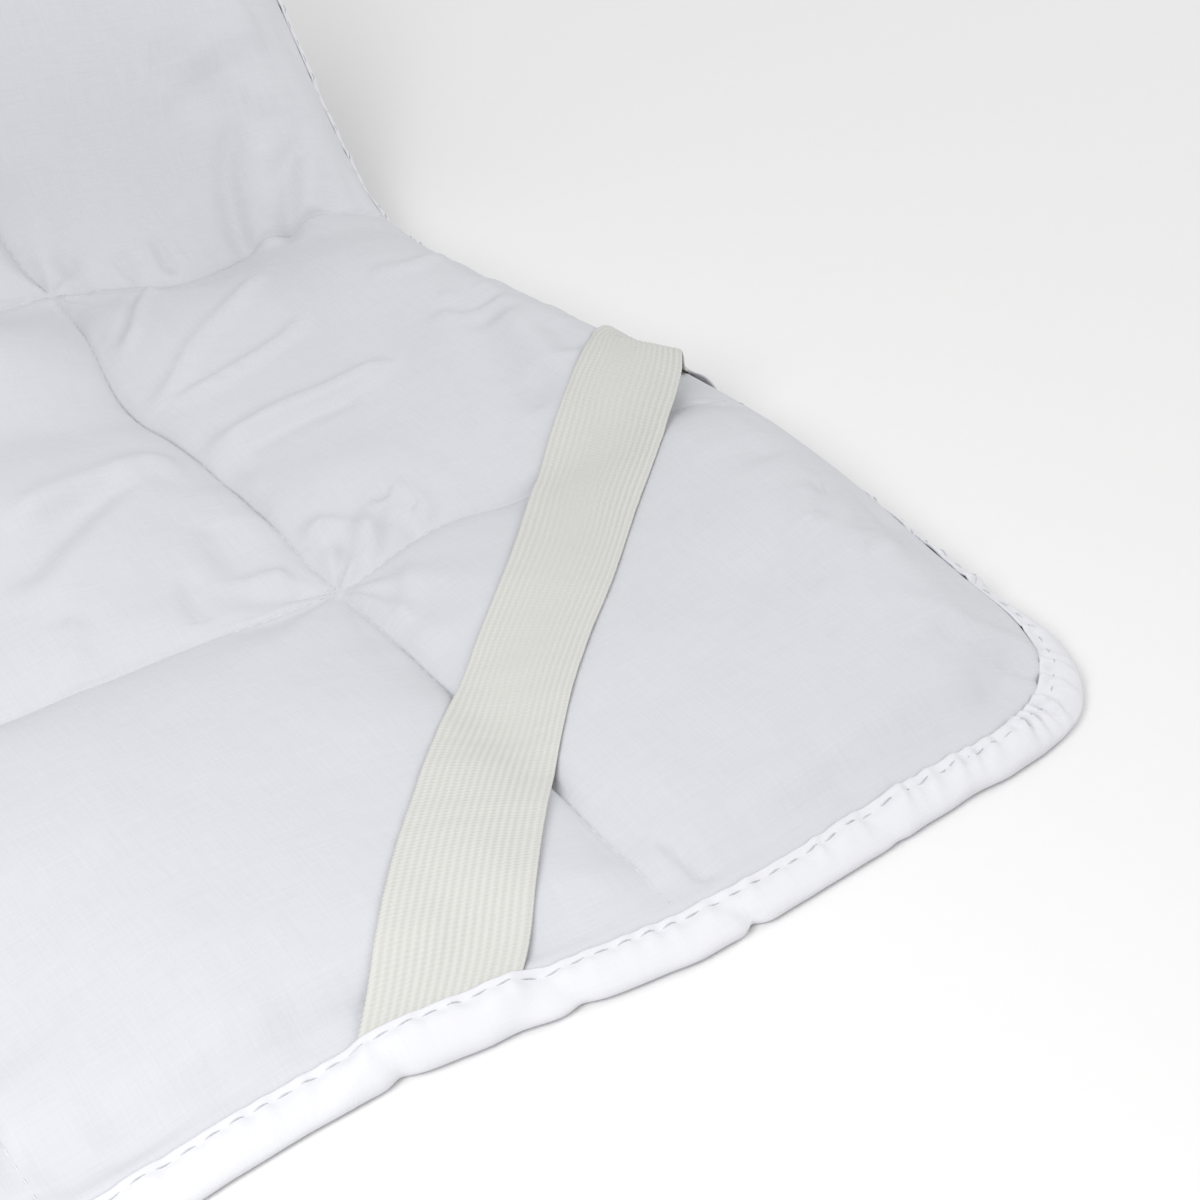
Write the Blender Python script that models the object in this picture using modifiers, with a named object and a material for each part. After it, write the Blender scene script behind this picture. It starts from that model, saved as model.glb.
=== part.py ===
"""A quilted mattress topper, laid out with its corner bands upward.

The photographed corner is the front right one (+X, -Y). Behind it the topper is pushed together into one
wave across its width, and the rest lies flat. Metres, +Z up, origin at the middle of the footprint, on the
surface that it lies on. A place on the cloth is given by a, its distance from the right edge, and b, its
distance from the front edge, both measured on the cloth as it was cut.
"""
import math
from collections import namedtuple

import bmesh
import bpy
import numpy as np
from mathutils import Vector
from mathutils.bvhtree import BVHTree

# Cut size of the topper
WIDTH = 0.900
LENGTH = 2.000
CORNER_RADIUS = 0.043

# Quilting: the first row beside each edge, then equal rows between
FIRST_ROW_A = 0.123
FIRST_ROW_B = 0.134
ROWS_BETWEEN_A = 5
ROWS_BETWEEN_B = 11
SEAM_THICKNESS = 0.0050
CROWN_THICKNESS = 0.0145
CROWN_FULLNESS = 0.40

# Edge of the pad, inside the binding
EDGE_INSET = 0.0035
EDGE_THICKNESS = 0.0014
HEM_INSET = 0.0060
HEM_RISE = 0.0015
HEM_THICKNESS = 0.0025
HEM_WIDTH = 0.0102
HEM_FOOT = 0.0160

# Binding strip folded round the edge
BINDING_WIDTH = 0.0095
BINDING_THICKNESS = 0.0010
BINDING_BULGE = 0.0025
BULGE_FULL = 0.0370
BULGE_END = 0.0620

# Section of the binding, from its lower inner side to its upper one: inset, rise, share of the bulge
BINDING_SECTION = (
    (BINDING_WIDTH, 0.0000, 0.0),
    (0.0030, 0.0000, 0.0),
    (0.0000, 0.0018, 0.2),
    (0.0024, 0.0046, 0.8),
    (0.0060, 0.0058, 1.0),
    (BINDING_WIDTH, 0.0060, 1.0),
)

# Elastic corner bands: how far from the corner the middle line meets the end edge and the side edge
BAND_REACH = (0.1835, 0.1750)
BAND_WIDTH = 0.0246
BAND_THICKNESS = 0.0010
BAND_INSET = 0.0045
BAND_BOW_SHARES = (0.000, 0.060, 0.115, 0.195, 0.295, 0.380, 0.476, 0.595, 0.660, 0.730, 0.800, 1.000)
BAND_BOW = (0.0000, 0.0010, 0.0040, 0.0082, 0.0112, 0.0118, 0.0106, 0.0074, 0.0048, 0.0024, 0.0012, 0.0000)
BAND_BOW_SPREAD = 0.03
BAND_CLEARANCE = 0.0005
BAND_LIFT = 0.0009
BAND_END_INSETS = (BAND_INSET, 0.0062, 0.0090, 0.0115, 0.0145, 0.0185, 0.0250, 0.0340)
BAND_STATIONS = 9
BAND_FEEL = 0.0022
BAND_ROWS = 3
BAND_LINES = (-0.0340, 0.0170)

# The wave across the topper
WAVE_TAKE_UP = 0.066
WAVE_STEPS = 48
LAID_LENGTH = LENGTH - WAVE_TAKE_UP

WaveRow = namedtuple("WaveRow", "a start steepness_deg")
WAVE_ROWS = (
    WaveRow(0.000, 0.286, 61.0),
    WaveRow(0.125, 0.290, 63.0),
    WaveRow(0.330, 0.288, 61.5),
    WaveRow(0.620, 0.302, 65.0),
    WaveRow(0.900, 0.316, 62.0),
)

# Soft forms of the laid cloth: a place, two half widths, the turn of its crest from the width, a height
Form = namedtuple("Form", "a b half_a half_b turn_deg height")
FORMS = (
    Form(0.205, 0.256, 0.085, 0.024, 4.0, 0.0150),
    Form(0.185, 0.196, 0.060, 0.014, -6.0, 0.0040),
    Form(0.062, 0.250, 0.030, 0.020, 12.0, 0.0040),
    Form(0.720, 0.262, 0.120, 0.028, -5.0, 0.0090),
    Form(0.900, 0.640, 0.060, 0.080, 0.0, 0.0070),
)

# Sideways shifts of the laid cloth: a place, two half widths, the shift along a and along b
Shift = namedtuple("Shift", "a b half_a half_b along_a along_b")
SHIFTS = (
    Shift(0.123, 0.292, 0.045, 0.030, -0.0050, 0.0020),
    Shift(0.123, 0.230, 0.045, 0.028, 0.0060, 0.0000),
    Shift(0.060, 0.140, 0.045, 0.022, 0.0000, 0.0050),
    Shift(0.090, 0.287, 0.024, 0.018, 0.0000, -0.0090),
)
SHIFT_INSET = 0.030

# The right edge arches up and then turns down to the floor
CURL_DEG = 54.0
CURL_WIDTH = 0.0200
CURL_RAMP = 0.0100
CURL_FROM = (0.000, 0.088)
CURL_BACK = (0.380, 0.480)
CURL_ACROSS = (0.030, 0.090)
LIFT_ACROSS = (0.020, 0.090)
LIFT_ALONG = (0.310, 0.380)

# The right edge is drawn in where the wave crosses it
DRAW_IN = 0.0225
DRAW_IN_FROM = (0.118, 0.270)
DRAW_IN_BACK = (0.520, 0.760)
DRAW_IN_ACROSS = 0.130
DRAW_FORWARD = 0.024
DRAW_FORWARD_FROM = (0.160, 0.290)
TUCK = 0.0032
TUCK_AT = 0.060
TUCK_HALF = 0.030

# The front edge wanders a little
WANDER = 0.0027
WANDER_LEVEL = 0.0010
WANDER_PITCH = 0.145
WANDER_CREST = 0.190
WANDER_FROM = (0.000, 0.030)
WANDER_ACROSS = (0.250, 0.400)
WANDER_ALONG = (0.020, 0.110)

# Mesh steps in each quilted row: close together near the photographed corner and on the wave
STEPS_A = (8, 6, 4, 3, 3, 3, 3)
STEPS_B = (12, 9, 9, 5, 3, 3, 3, 3, 3, 3, 3, 3, 3)
SEAM_CROWDING = 0.55
NORMAL_STEP = 0.0010
SMALLEST_STEP = 0.0022

PAD_COLOUR = (0.86, 0.86, 0.90, 1.0)
BINDING_COLOUR = (0.88, 0.88, 0.92, 1.0)
BAND_COLOUR = (0.80, 0.79, 0.73, 1.0)


def smooth(value, start, end):
    """0 before start, 1 after end, and an even rise between."""
    t = np.clip((value - start) / (end - start), 0.0, 1.0)
    return t * t * (3.0 - 2.0 * t)


def seam_places(total, first, between):
    """Places of the hem line, the quilting seams and the far hem line across one direction."""
    seams = np.linspace(first, total - first, between + 1)
    return np.concatenate(([HEM_WIDTH], seams, [total - HEM_WIDTH]))


SEAMS_A = seam_places(WIDTH, FIRST_ROW_A, ROWS_BETWEEN_A)
SEAMS_B = seam_places(LENGTH, FIRST_ROW_B, ROWS_BETWEEN_B)


def mesh_lines(seams, steps, total):
    """Places of the mesh lines across one direction, crowded at the seams."""
    edge = [EDGE_INSET, HEM_INSET]
    lines = edge + [total - place for place in edge]
    lines += [HEM_FOOT, total - HEM_FOOT]
    if total == WIDTH:
        lines.append(CURL_WIDTH)
    for low, high, count in zip(seams[:-1], seams[1:], steps):
        even = np.linspace(0.0, 1.0, count + 1)
        crowded = 0.5 - 0.5 * np.cos(math.pi * even)
        lines += list(low + (high - low) * (even + SEAM_CROWDING * (crowded - even)))
    for place in BAND_LINES:
        lines += [BAND_REACH[0] + place, total - BAND_REACH[0] - place]
    kept = []
    for line in sorted(lines):
        near_seam = np.min(np.abs(seams - line)) < 1e-9
        if kept and line - kept[-1] < SMALLEST_STEP:
            if near_seam:
                kept[-1] = line
            continue
        kept.append(line)
    return np.array(kept)


def rounded(a, b):
    """Moves places in the square corner zones onto arcs, so that the outline has round corners."""
    left = a > WIDTH / 2
    back = b > LENGTH / 2
    in_a = np.clip(CORNER_RADIUS - np.where(left, WIDTH - a, a), 0.0, None)
    in_b = np.clip(CORNER_RADIUS - np.where(back, LENGTH - b, b), 0.0, None)
    longest = np.maximum(in_a, in_b)
    scale = longest / np.maximum(np.hypot(in_a, in_b), 1e-9)
    both = (in_a > 0) & (in_b > 0)
    near_a = CORNER_RADIUS - in_a * scale
    near_b = CORNER_RADIUS - in_b * scale
    round_a = np.where(left, WIDTH - near_a, near_a)
    round_b = np.where(back, LENGTH - near_b, near_b)
    return np.where(both, round_a, a), np.where(both, round_b, b)


def wave(a, b):
    """How far along the floor and how high a place lies, and the slope there in radians."""
    places = [row.a for row in WAVE_ROWS]
    start = np.interp(a, places, [row.start for row in WAVE_ROWS])
    steepness = np.radians(np.interp(a, places, [row.steepness_deg for row in WAVE_ROWS]))
    ticks = (np.arange(WAVE_STEPS) + 0.5) / WAVE_STEPS
    whole = np.sin(2 * math.pi * ticks)
    kept_share = np.mean(np.cos(steepness[..., None] * whole), axis=-1)
    span = WAVE_TAKE_UP / (1.0 - kept_share)
    share = np.clip((b - start) / span, 0.0, 1.0)
    angles = steepness[..., None] * np.sin(2 * math.pi * share[..., None] * ticks)
    along = span * share * np.mean(np.cos(angles), axis=-1)
    height = span * share * np.mean(np.sin(angles), axis=-1)
    before = np.minimum(b, start)
    after = np.clip(b - start - span, 0.0, None)
    slope = steepness * np.sin(2 * math.pi * share)
    return before + along + after, height, slope


def bump(a, b, row, turn_deg=0.0):
    """A soft hill of height 1 at a row's place, with its half widths."""
    turn = math.radians(turn_deg)
    across = (a - row.a) * math.cos(turn) + (b - row.b) * math.sin(turn)
    along = (b - row.b) * math.cos(turn) - (a - row.a) * math.sin(turn)
    return np.exp(-(across / row.half_a) ** 2 - (along / row.half_b) ** 2)


def draw_in(a, b):
    """Shifts of the right edge along a and along b, where the wave pulls it."""
    back = 1.0 - smooth(b, *DRAW_IN_BACK)
    across = 1.0 - smooth(a, 0.0, DRAW_IN_ACROSS)
    inward = DRAW_IN * smooth(b, *DRAW_IN_FROM) * back * across
    inward = inward + TUCK * np.exp(-((b - TUCK_AT) / TUCK_HALF) ** 2) * across
    forward = DRAW_FORWARD * smooth(b, *DRAW_FORWARD_FROM) * back * across
    return inward, -forward


def front_wander(a, b):
    """How far the front edge stands back from its line."""
    fade = smooth(a, *WANDER_FROM) * (1.0 - smooth(a, *WANDER_ACROSS)) * (1.0 - smooth(b, *WANDER_ALONG))
    return fade * (WANDER_LEVEL + WANDER * np.cos(2 * math.pi * (a - WANDER_CREST) / WANDER_PITCH))


def curl(a, b):
    """Shifts of a place along a and b, and its rise, where the right edge arches up and turns down."""
    along = smooth(b, *CURL_FROM) * (1.0 - smooth(b, *CURL_BACK))
    steepest = math.radians(CURL_DEG) * along * (1.0 - smooth(a, *CURL_ACROSS)) + 1e-9
    in_a = np.clip(CORNER_RADIUS - a, 0.0, None)
    in_b = np.clip(CORNER_RADIUS - b, 0.0, None)
    reach = np.hypot(in_a, in_b)
    turned = np.clip(CURL_WIDTH - CORNER_RADIUS + reach, 0.0, None)
    ramp = np.minimum(turned, CURL_RAMP)
    angle = steepest * ramp / CURL_RAMP + 1e-9
    rest = np.clip(turned - CURL_RAMP, 0.0, None)
    flat = ramp * np.sin(angle) / angle + rest * np.cos(angle)
    drop = ramp * (1.0 - np.cos(angle)) / angle + rest * np.sin(angle)
    whole = CURL_RAMP * (1.0 - np.cos(steepest)) / steepest + (CURL_WIDTH - CURL_RAMP) * np.sin(steepest)
    on_floor = 1.0 - smooth(b, *LIFT_ALONG)
    rise = whole * (1.0 - smooth(a, *LIFT_ACROSS)) * on_floor - drop
    rise = np.where(on_floor > 0.999, np.maximum(rise, 0.0), rise)
    loss = (turned - flat) / np.maximum(reach, 1e-9)
    return in_a * loss, in_b * loss, rise


def surface(a, b):
    """World places of the surface that the topper's underside follows."""
    along, height, slope = wave(a, b)
    inward, backward = draw_in(a, b)
    backward = backward + front_wander(a, b)
    away = smooth(edge_distance(a, b), 0.0, SHIFT_INSET)
    for row in SHIFTS:
        inward = inward + row.along_a * bump(a, b, row) * away
        backward = backward + row.along_b * bump(a, b, row) * away
    for row in FORMS:
        height = height + row.height * bump(a, b, row, row.turn_deg)
    turned_in, turned_back, rise = curl(a, b)
    x = WIDTH / 2 - a - inward - turned_in
    middle = (LAID_LENGTH - WANDER + WANDER_LEVEL) / 2
    y = along + backward + turned_back - middle - rise * np.sin(slope)
    return np.stack([x, y, np.maximum(height + rise * np.cos(slope), 0.0)], axis=-1)


def laid_points(flat_a, flat_b, rise):
    """World places of cloth places, each raised by rise from the surface below, square to it."""
    a, b = rounded(flat_a, flat_b)
    base = surface(a, b)
    across = surface(a - NORMAL_STEP, b) - surface(a + NORMAL_STEP, b)
    along = surface(a, b + NORMAL_STEP) - surface(a, b - NORMAL_STEP)
    normal = np.cross(across, along)
    normal = normal / np.linalg.norm(normal, axis=-1, keepdims=True)
    return base + normal * (np.zeros(base.shape[:-1]) + rise)[..., None]


def edge_distance(a, b):
    """Distance of a place from the nearest edge."""
    return np.minimum(np.minimum(a, WIDTH - a), np.minimum(b, LENGTH - b))


def underside_rise(a, b):
    """How far the pad's underside stands off the surface to leave room for the binding."""
    return np.interp(edge_distance(a, b), (HEM_WIDTH, HEM_FOOT), (HEM_RISE, 0.0))


def row_share(place, seams):
    """Where a place lies between its two seams, from 0 to 1."""
    index = np.interp(place, seams, np.arange(len(seams)))
    return index - np.floor(index)


def pad_thickness(a, b):
    """Thickness of the filled pad: thin at the hem and the seams, and crowned between them."""
    pillow = 1.0
    for place, seams in ((a, SEAMS_A), (b, SEAMS_B)):
        share = row_share(place, seams)
        pillow = pillow * (4.0 * share * (1.0 - share)) ** CROWN_FULLNESS
    filled = SEAM_THICKNESS + (CROWN_THICKNESS - SEAM_THICKNESS) * pillow
    distance = edge_distance(a, b)
    hem = np.interp(distance, (EDGE_INSET, HEM_INSET), (EDGE_THICKNESS, HEM_THICKNESS))
    inside = np.interp(distance, (HEM_WIDTH, HEM_FOOT), (0.0, 1.0))
    return hem + (filled - hem) * inside


def new_material(name, colour, roughness):
    """A plain Principled material."""
    material = bpy.data.materials.new(name)
    material.use_nodes = True
    shader = material.node_tree.nodes["Principled BSDF"]
    shader.inputs["Base Color"].default_value = colour
    shader.inputs["Roughness"].default_value = roughness
    shader.inputs["Metallic"].default_value = 0.0
    material.diffuse_color = colour
    return material


def grid_object(name, points, material, collection, closed=False):
    """A sheet object on a rectangular grid of points, joined end to end where it is closed."""
    rows, columns = points.shape[:2]
    bm = bmesh.new()
    bmesh.ops.create_grid(bm, x_segments=columns - 1, y_segments=rows - 1, size=1.0)
    bm.verts.ensure_lookup_table()
    for vert, point in zip(bm.verts, points.reshape(-1, 3)):
        vert.co = Vector(point)
    if closed:
        bmesh.ops.remove_doubles(bm, verts=bm.verts, dist=1e-6)
    mesh = bpy.data.meshes.new(name)
    bm.to_mesh(mesh)
    bm.free()
    mesh.materials.append(material)
    mesh.shade_smooth()
    obj = bpy.data.objects.new(name, mesh)
    collection.objects.link(obj)
    return obj


def thicken(obj, thickness, offset):
    """Gives a sheet object its thickness."""
    solid = obj.modifiers.new("thickness", "SOLIDIFY")
    solid.thickness = thickness
    solid.offset = offset
    return solid


def make_pad(collection):
    """The filled, quilted pad: its underside as a sheet, thickened by the filling."""
    lines_a = mesh_lines(SEAMS_A, STEPS_A, WIDTH)
    lines_b = mesh_lines(SEAMS_B, STEPS_B, LENGTH)
    a, b = np.meshgrid(lines_a, lines_b)
    points = laid_points(a, b, underside_rise(a, b))[:, ::-1]
    pad = grid_object("pad", points, new_material("quilted cotton", PAD_COLOUR, 0.8), collection)
    share = (pad_thickness(a, b) / CROWN_THICKNESS)[:, ::-1].ravel()
    group = pad.vertex_groups.new(name="filling")
    for index, weight in enumerate(share):
        group.add([index], float(weight), "REPLACE")
    solid = thicken(pad, CROWN_THICKNESS, 1.0)
    solid.vertex_group = group.name
    solid.thickness_vertex_group = 0.0
    return pad


def band_reach(share):
    """How far from its corner a band's middle line lies, by the share of its run from the end edge."""
    return BAND_REACH[0] + (BAND_REACH[1] - BAND_REACH[0]) * share


def band_bulge(a, b):
    """Share of the binding's bulge over the end of a corner band."""
    near_a = np.minimum(a, WIDTH - a)
    near_b = np.minimum(b, LENGTH - b)
    both = near_a + near_b
    off_line = np.abs(both - band_reach(near_b / np.maximum(both, 1e-9)))
    return 1.0 - smooth(off_line, BULGE_FULL, BULGE_END)


def edge_places(inset, lines_a, lines_b):
    """Cloth places once round the topper at an inset from its edge, front side first."""
    low_a, high_a = inset, WIDTH - inset
    low_b, high_b = inset, LENGTH - inset
    inner_a = [line for line in lines_a if HEM_WIDTH - 1e-9 <= line <= WIDTH - HEM_WIDTH + 1e-9]
    inner_b = [line for line in lines_b if HEM_WIDTH - 1e-9 <= line <= LENGTH - HEM_WIDTH + 1e-9]
    round_trip = [(low_a, low_b)] + [(line, low_b) for line in inner_a]
    round_trip += [(high_a, low_b)] + [(high_a, line) for line in inner_b]
    round_trip += [(high_a, high_b)] + [(line, high_b) for line in reversed(inner_a)]
    round_trip += [(low_a, high_b)] + [(low_a, line) for line in reversed(inner_b)]
    round_trip.append((low_a, low_b))
    return np.array(round_trip)


def make_binding(collection):
    """The binding strip, folded round the whole edge of the pad."""
    lines_a = mesh_lines(SEAMS_A, STEPS_A, WIDTH)
    lines_b = mesh_lines(SEAMS_B, STEPS_B, LENGTH)
    rows = []
    for inset, rise, bulge in BINDING_SECTION:
        places = edge_places(inset, lines_a, lines_b)
        raised = rise + bulge * BINDING_BULGE * band_bulge(places[:, 0], places[:, 1])
        rows.append(laid_points(places[:, 0], places[:, 1], raised))
    points = np.stack(rows, axis=0)[:, ::-1]
    material = new_material("binding cotton", BINDING_COLOUR, 0.8)
    binding = grid_object("binding", points, material, collection, closed=True)
    thicken(binding, BINDING_THICKNESS, -1.0)
    return binding


def band_bow(share):
    """How far a slack band bows away from its corner, along the diagonal's two directions together."""
    spread = (-BAND_BOW_SPREAD, -BAND_BOW_SPREAD / 2, 0.0, BAND_BOW_SPREAD / 2, BAND_BOW_SPREAD)
    bow = sum(np.interp(share + step, BAND_BOW_SHARES, BAND_BOW) for step in spread) / len(spread)
    return bow * smooth(share, 0.0, BAND_BOW_SPREAD) * (1.0 - smooth(share, 1.0 - BAND_BOW_SPREAD, 1.0))


def band_places(share_along, share_across):
    """Cloth places of a corner band at the front right, from its front end to its side end."""
    reach = band_reach(share_along) + math.sqrt(2) * BAND_WIDTH * (share_across - 0.5)
    b = BAND_INSET + (reach - 2 * BAND_INSET) * share_along
    bow = 0.5 * band_bow(share_along)
    return reach - b + bow, b + bow


def band_stations():
    """Shares along a band, close together where it dips to go under the binding."""
    run = sum(BAND_REACH) / 2 - 2 * BAND_INSET
    ends = (np.array(BAND_END_INSETS) - BAND_INSET) / run
    inner = np.linspace(ends[-1], 1.0 - ends[-1], BAND_STATIONS)[1:-1]
    return np.concatenate((ends, inner, 1.0 - ends[::-1]))


def pad_rise(tree, a, b, reach):
    """How far the pad's upper face stands off the surface at a place, or the most within reach of it."""
    rises = []
    for step_a in (-reach, 0.0, reach):
        for step_b in (-reach, 0.0, reach):
            base, above = laid_points(np.array([a + step_a] * 2), np.array([b + step_b] * 2), np.array([0.0, 0.04]))
            start, down = Vector(above), Vector(base) - Vector(above)
            hit = tree.ray_cast(start, down.normalized(), down.length + 0.01)[3]
            if hit is not None:
                rises.append(down.length - hit)
    return max(rises)


def band_points(mirror_a, mirror_b, tree):
    """World places of a band's underside, resting on the pad below it."""
    along, across = np.meshgrid(band_stations(), np.linspace(0.0, 1.0, BAND_ROWS))
    a, b = band_places(along, across)
    a = WIDTH - a if mirror_a else a
    b = LENGTH - b if mirror_b else b
    rise = np.zeros_like(a)
    last = a.shape[1] - 1
    for row in range(a.shape[0]):
        for index in range(last + 1):
            share = min(1.0, max(0.3, 0.5 * min(index, last - index) - 0.7))
            found = pad_rise(tree, a[row, index], b[row, index], BAND_FEEL * share)
            rise[row, index] = found + BAND_LIFT * share
        for index in range(4, last - 3):
            rise[row, index] = max(rise[row, index], 0.5 * (rise[row, index - 1] + rise[row, index + 1]))
    return laid_points(a, b, rise + BAND_CLEARANCE)


def make_bands(collection, pad):
    """The four elastic bands, one across each corner."""
    material = new_material("ribbed elastic", BAND_COLOUR, 0.7)
    tree = BVHTree.FromObject(pad, bpy.context.evaluated_depsgraph_get())
    corners = (
        ("elastic_front_right", False, False),
        ("elastic_front_left", True, False),
        ("elastic_back_right", False, True),
        ("elastic_back_left", True, True),
    )
    for name, mirror_a, mirror_b in corners:
        points = band_points(mirror_a, mirror_b, tree)
        if mirror_a != mirror_b:
            points = points[::-1]
        band = grid_object(name, points, material, collection)
        thicken(band, BAND_THICKNESS, 1.0)


def main():
    """Clears the scene and makes the topper."""
    for obj in list(bpy.data.objects):
        bpy.data.objects.remove(obj)
    collection = bpy.data.collections.new("mattress topper")
    bpy.context.scene.collection.children.link(collection)
    pad = make_pad(collection)
    make_binding(collection)
    make_bands(collection, pad)


main()
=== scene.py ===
"""Looks of a quilted mattress topper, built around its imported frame.

A place on the cloth is given by a, its distance from the right edge, and b, its distance from the front edge,
both measured on the cloth as it was cut. Sizes are in metres, +Z is up, and the photographed corner is the
front right one.
"""

import logging
import math
from dataclasses import dataclass, field
from enum import Enum
from typing import NamedTuple

import bpy
import numpy as np
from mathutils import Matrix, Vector


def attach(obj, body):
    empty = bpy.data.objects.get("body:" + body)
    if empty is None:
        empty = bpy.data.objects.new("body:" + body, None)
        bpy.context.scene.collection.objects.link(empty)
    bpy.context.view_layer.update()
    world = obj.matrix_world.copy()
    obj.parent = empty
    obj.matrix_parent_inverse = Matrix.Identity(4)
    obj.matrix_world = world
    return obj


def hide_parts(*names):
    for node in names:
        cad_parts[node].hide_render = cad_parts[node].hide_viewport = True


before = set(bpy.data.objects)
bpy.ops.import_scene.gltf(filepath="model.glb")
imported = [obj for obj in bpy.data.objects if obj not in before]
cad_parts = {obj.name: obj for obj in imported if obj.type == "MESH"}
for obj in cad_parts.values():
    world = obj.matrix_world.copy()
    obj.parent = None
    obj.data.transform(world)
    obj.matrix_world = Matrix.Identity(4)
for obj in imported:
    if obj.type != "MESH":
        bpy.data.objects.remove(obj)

Array = np.ndarray
Colour = tuple[float, float, float]
Place = tuple[float, float, float]
log = logging.getLogger("topper")


def smooth(value: Array | float, start: float, end: float) -> Array:
    """Rises evenly from 0 before start to 1 after end.

    Args:
        value: Where to read it.
        start: Where the rise begins.
        end: Where it is complete.

    Returns:
        The share risen at each value.
    """
    t = np.clip((value - start) / (end - start), 0.0, 1.0)
    return t * t * (3.0 - 2.0 * t)


def band_reach(share: Array) -> Array:
    """How far from its corner a band's middle line lies, by the share of its run from the end edge."""
    return BAND_REACH[0] + (BAND_REACH[1] - BAND_REACH[0]) * share


def hill(a: Array, b: Array, row: "Form | Shift", turn_deg: float = 0.0) -> Array:
    """A soft hill of height 1 at a row's place.

    Args:
        a: Distances from the right edge.
        b: Distances from the front edge.
        row: The hill's place and half widths.
        turn_deg: Turn of its crest from the width.

    Returns:
        The hill's height at each place.
    """
    turn = math.radians(turn_deg)
    across = (a - row.a) * math.cos(turn) + (b - row.b) * math.sin(turn)
    along = (b - row.b) * math.cos(turn) - (a - row.a) * math.sin(turn)
    return np.exp(-(across / row.half_a) ** 2 - (along / row.half_b) ** 2)


class Slot(Enum):
    """The record's material slots."""

    QUILTED_COTTON = "quilted_cotton"
    BINDING_COTTON = "binding_cotton"
    RIBBED_ELASTIC = "ribbed_elastic"


class Corner(Enum):
    """The topper's corners, by the node of the band across each."""

    FRONT_RIGHT = "elastic_front_right"
    FRONT_LEFT = "elastic_front_left"
    BACK_RIGHT = "elastic_back_right"
    BACK_LEFT = "elastic_back_left"

    @property
    def left(self) -> bool:
        """Whether the corner is on the left."""
        return self in (Corner.FRONT_LEFT, Corner.BACK_LEFT)

    @property
    def back(self) -> bool:
        """Whether the corner is at the back."""
        return self in (Corner.BACK_RIGHT, Corner.BACK_LEFT)


class WaveRow(NamedTuple):
    """Where the wave starts and how steep it is, at a distance from the right edge."""

    a: float
    start: float
    steepness_deg: float


class Form(NamedTuple):
    """A soft hill of the laid cloth: its place, half widths, turn from the width and height."""

    a: float
    b: float
    half_a: float
    half_b: float
    turn_deg: float
    height: float


class Shift(NamedTuple):
    """A sideways shift of the laid cloth: its place, half widths and size along a and b."""

    a: float
    b: float
    half_a: float
    half_b: float
    along_a: float
    along_b: float


class Fold(NamedTuple):
    """A soft ridge, or a trough where height is below 0, through places on the cloth."""

    width: float
    height: float
    places: tuple[tuple[float, float], ...]


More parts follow.
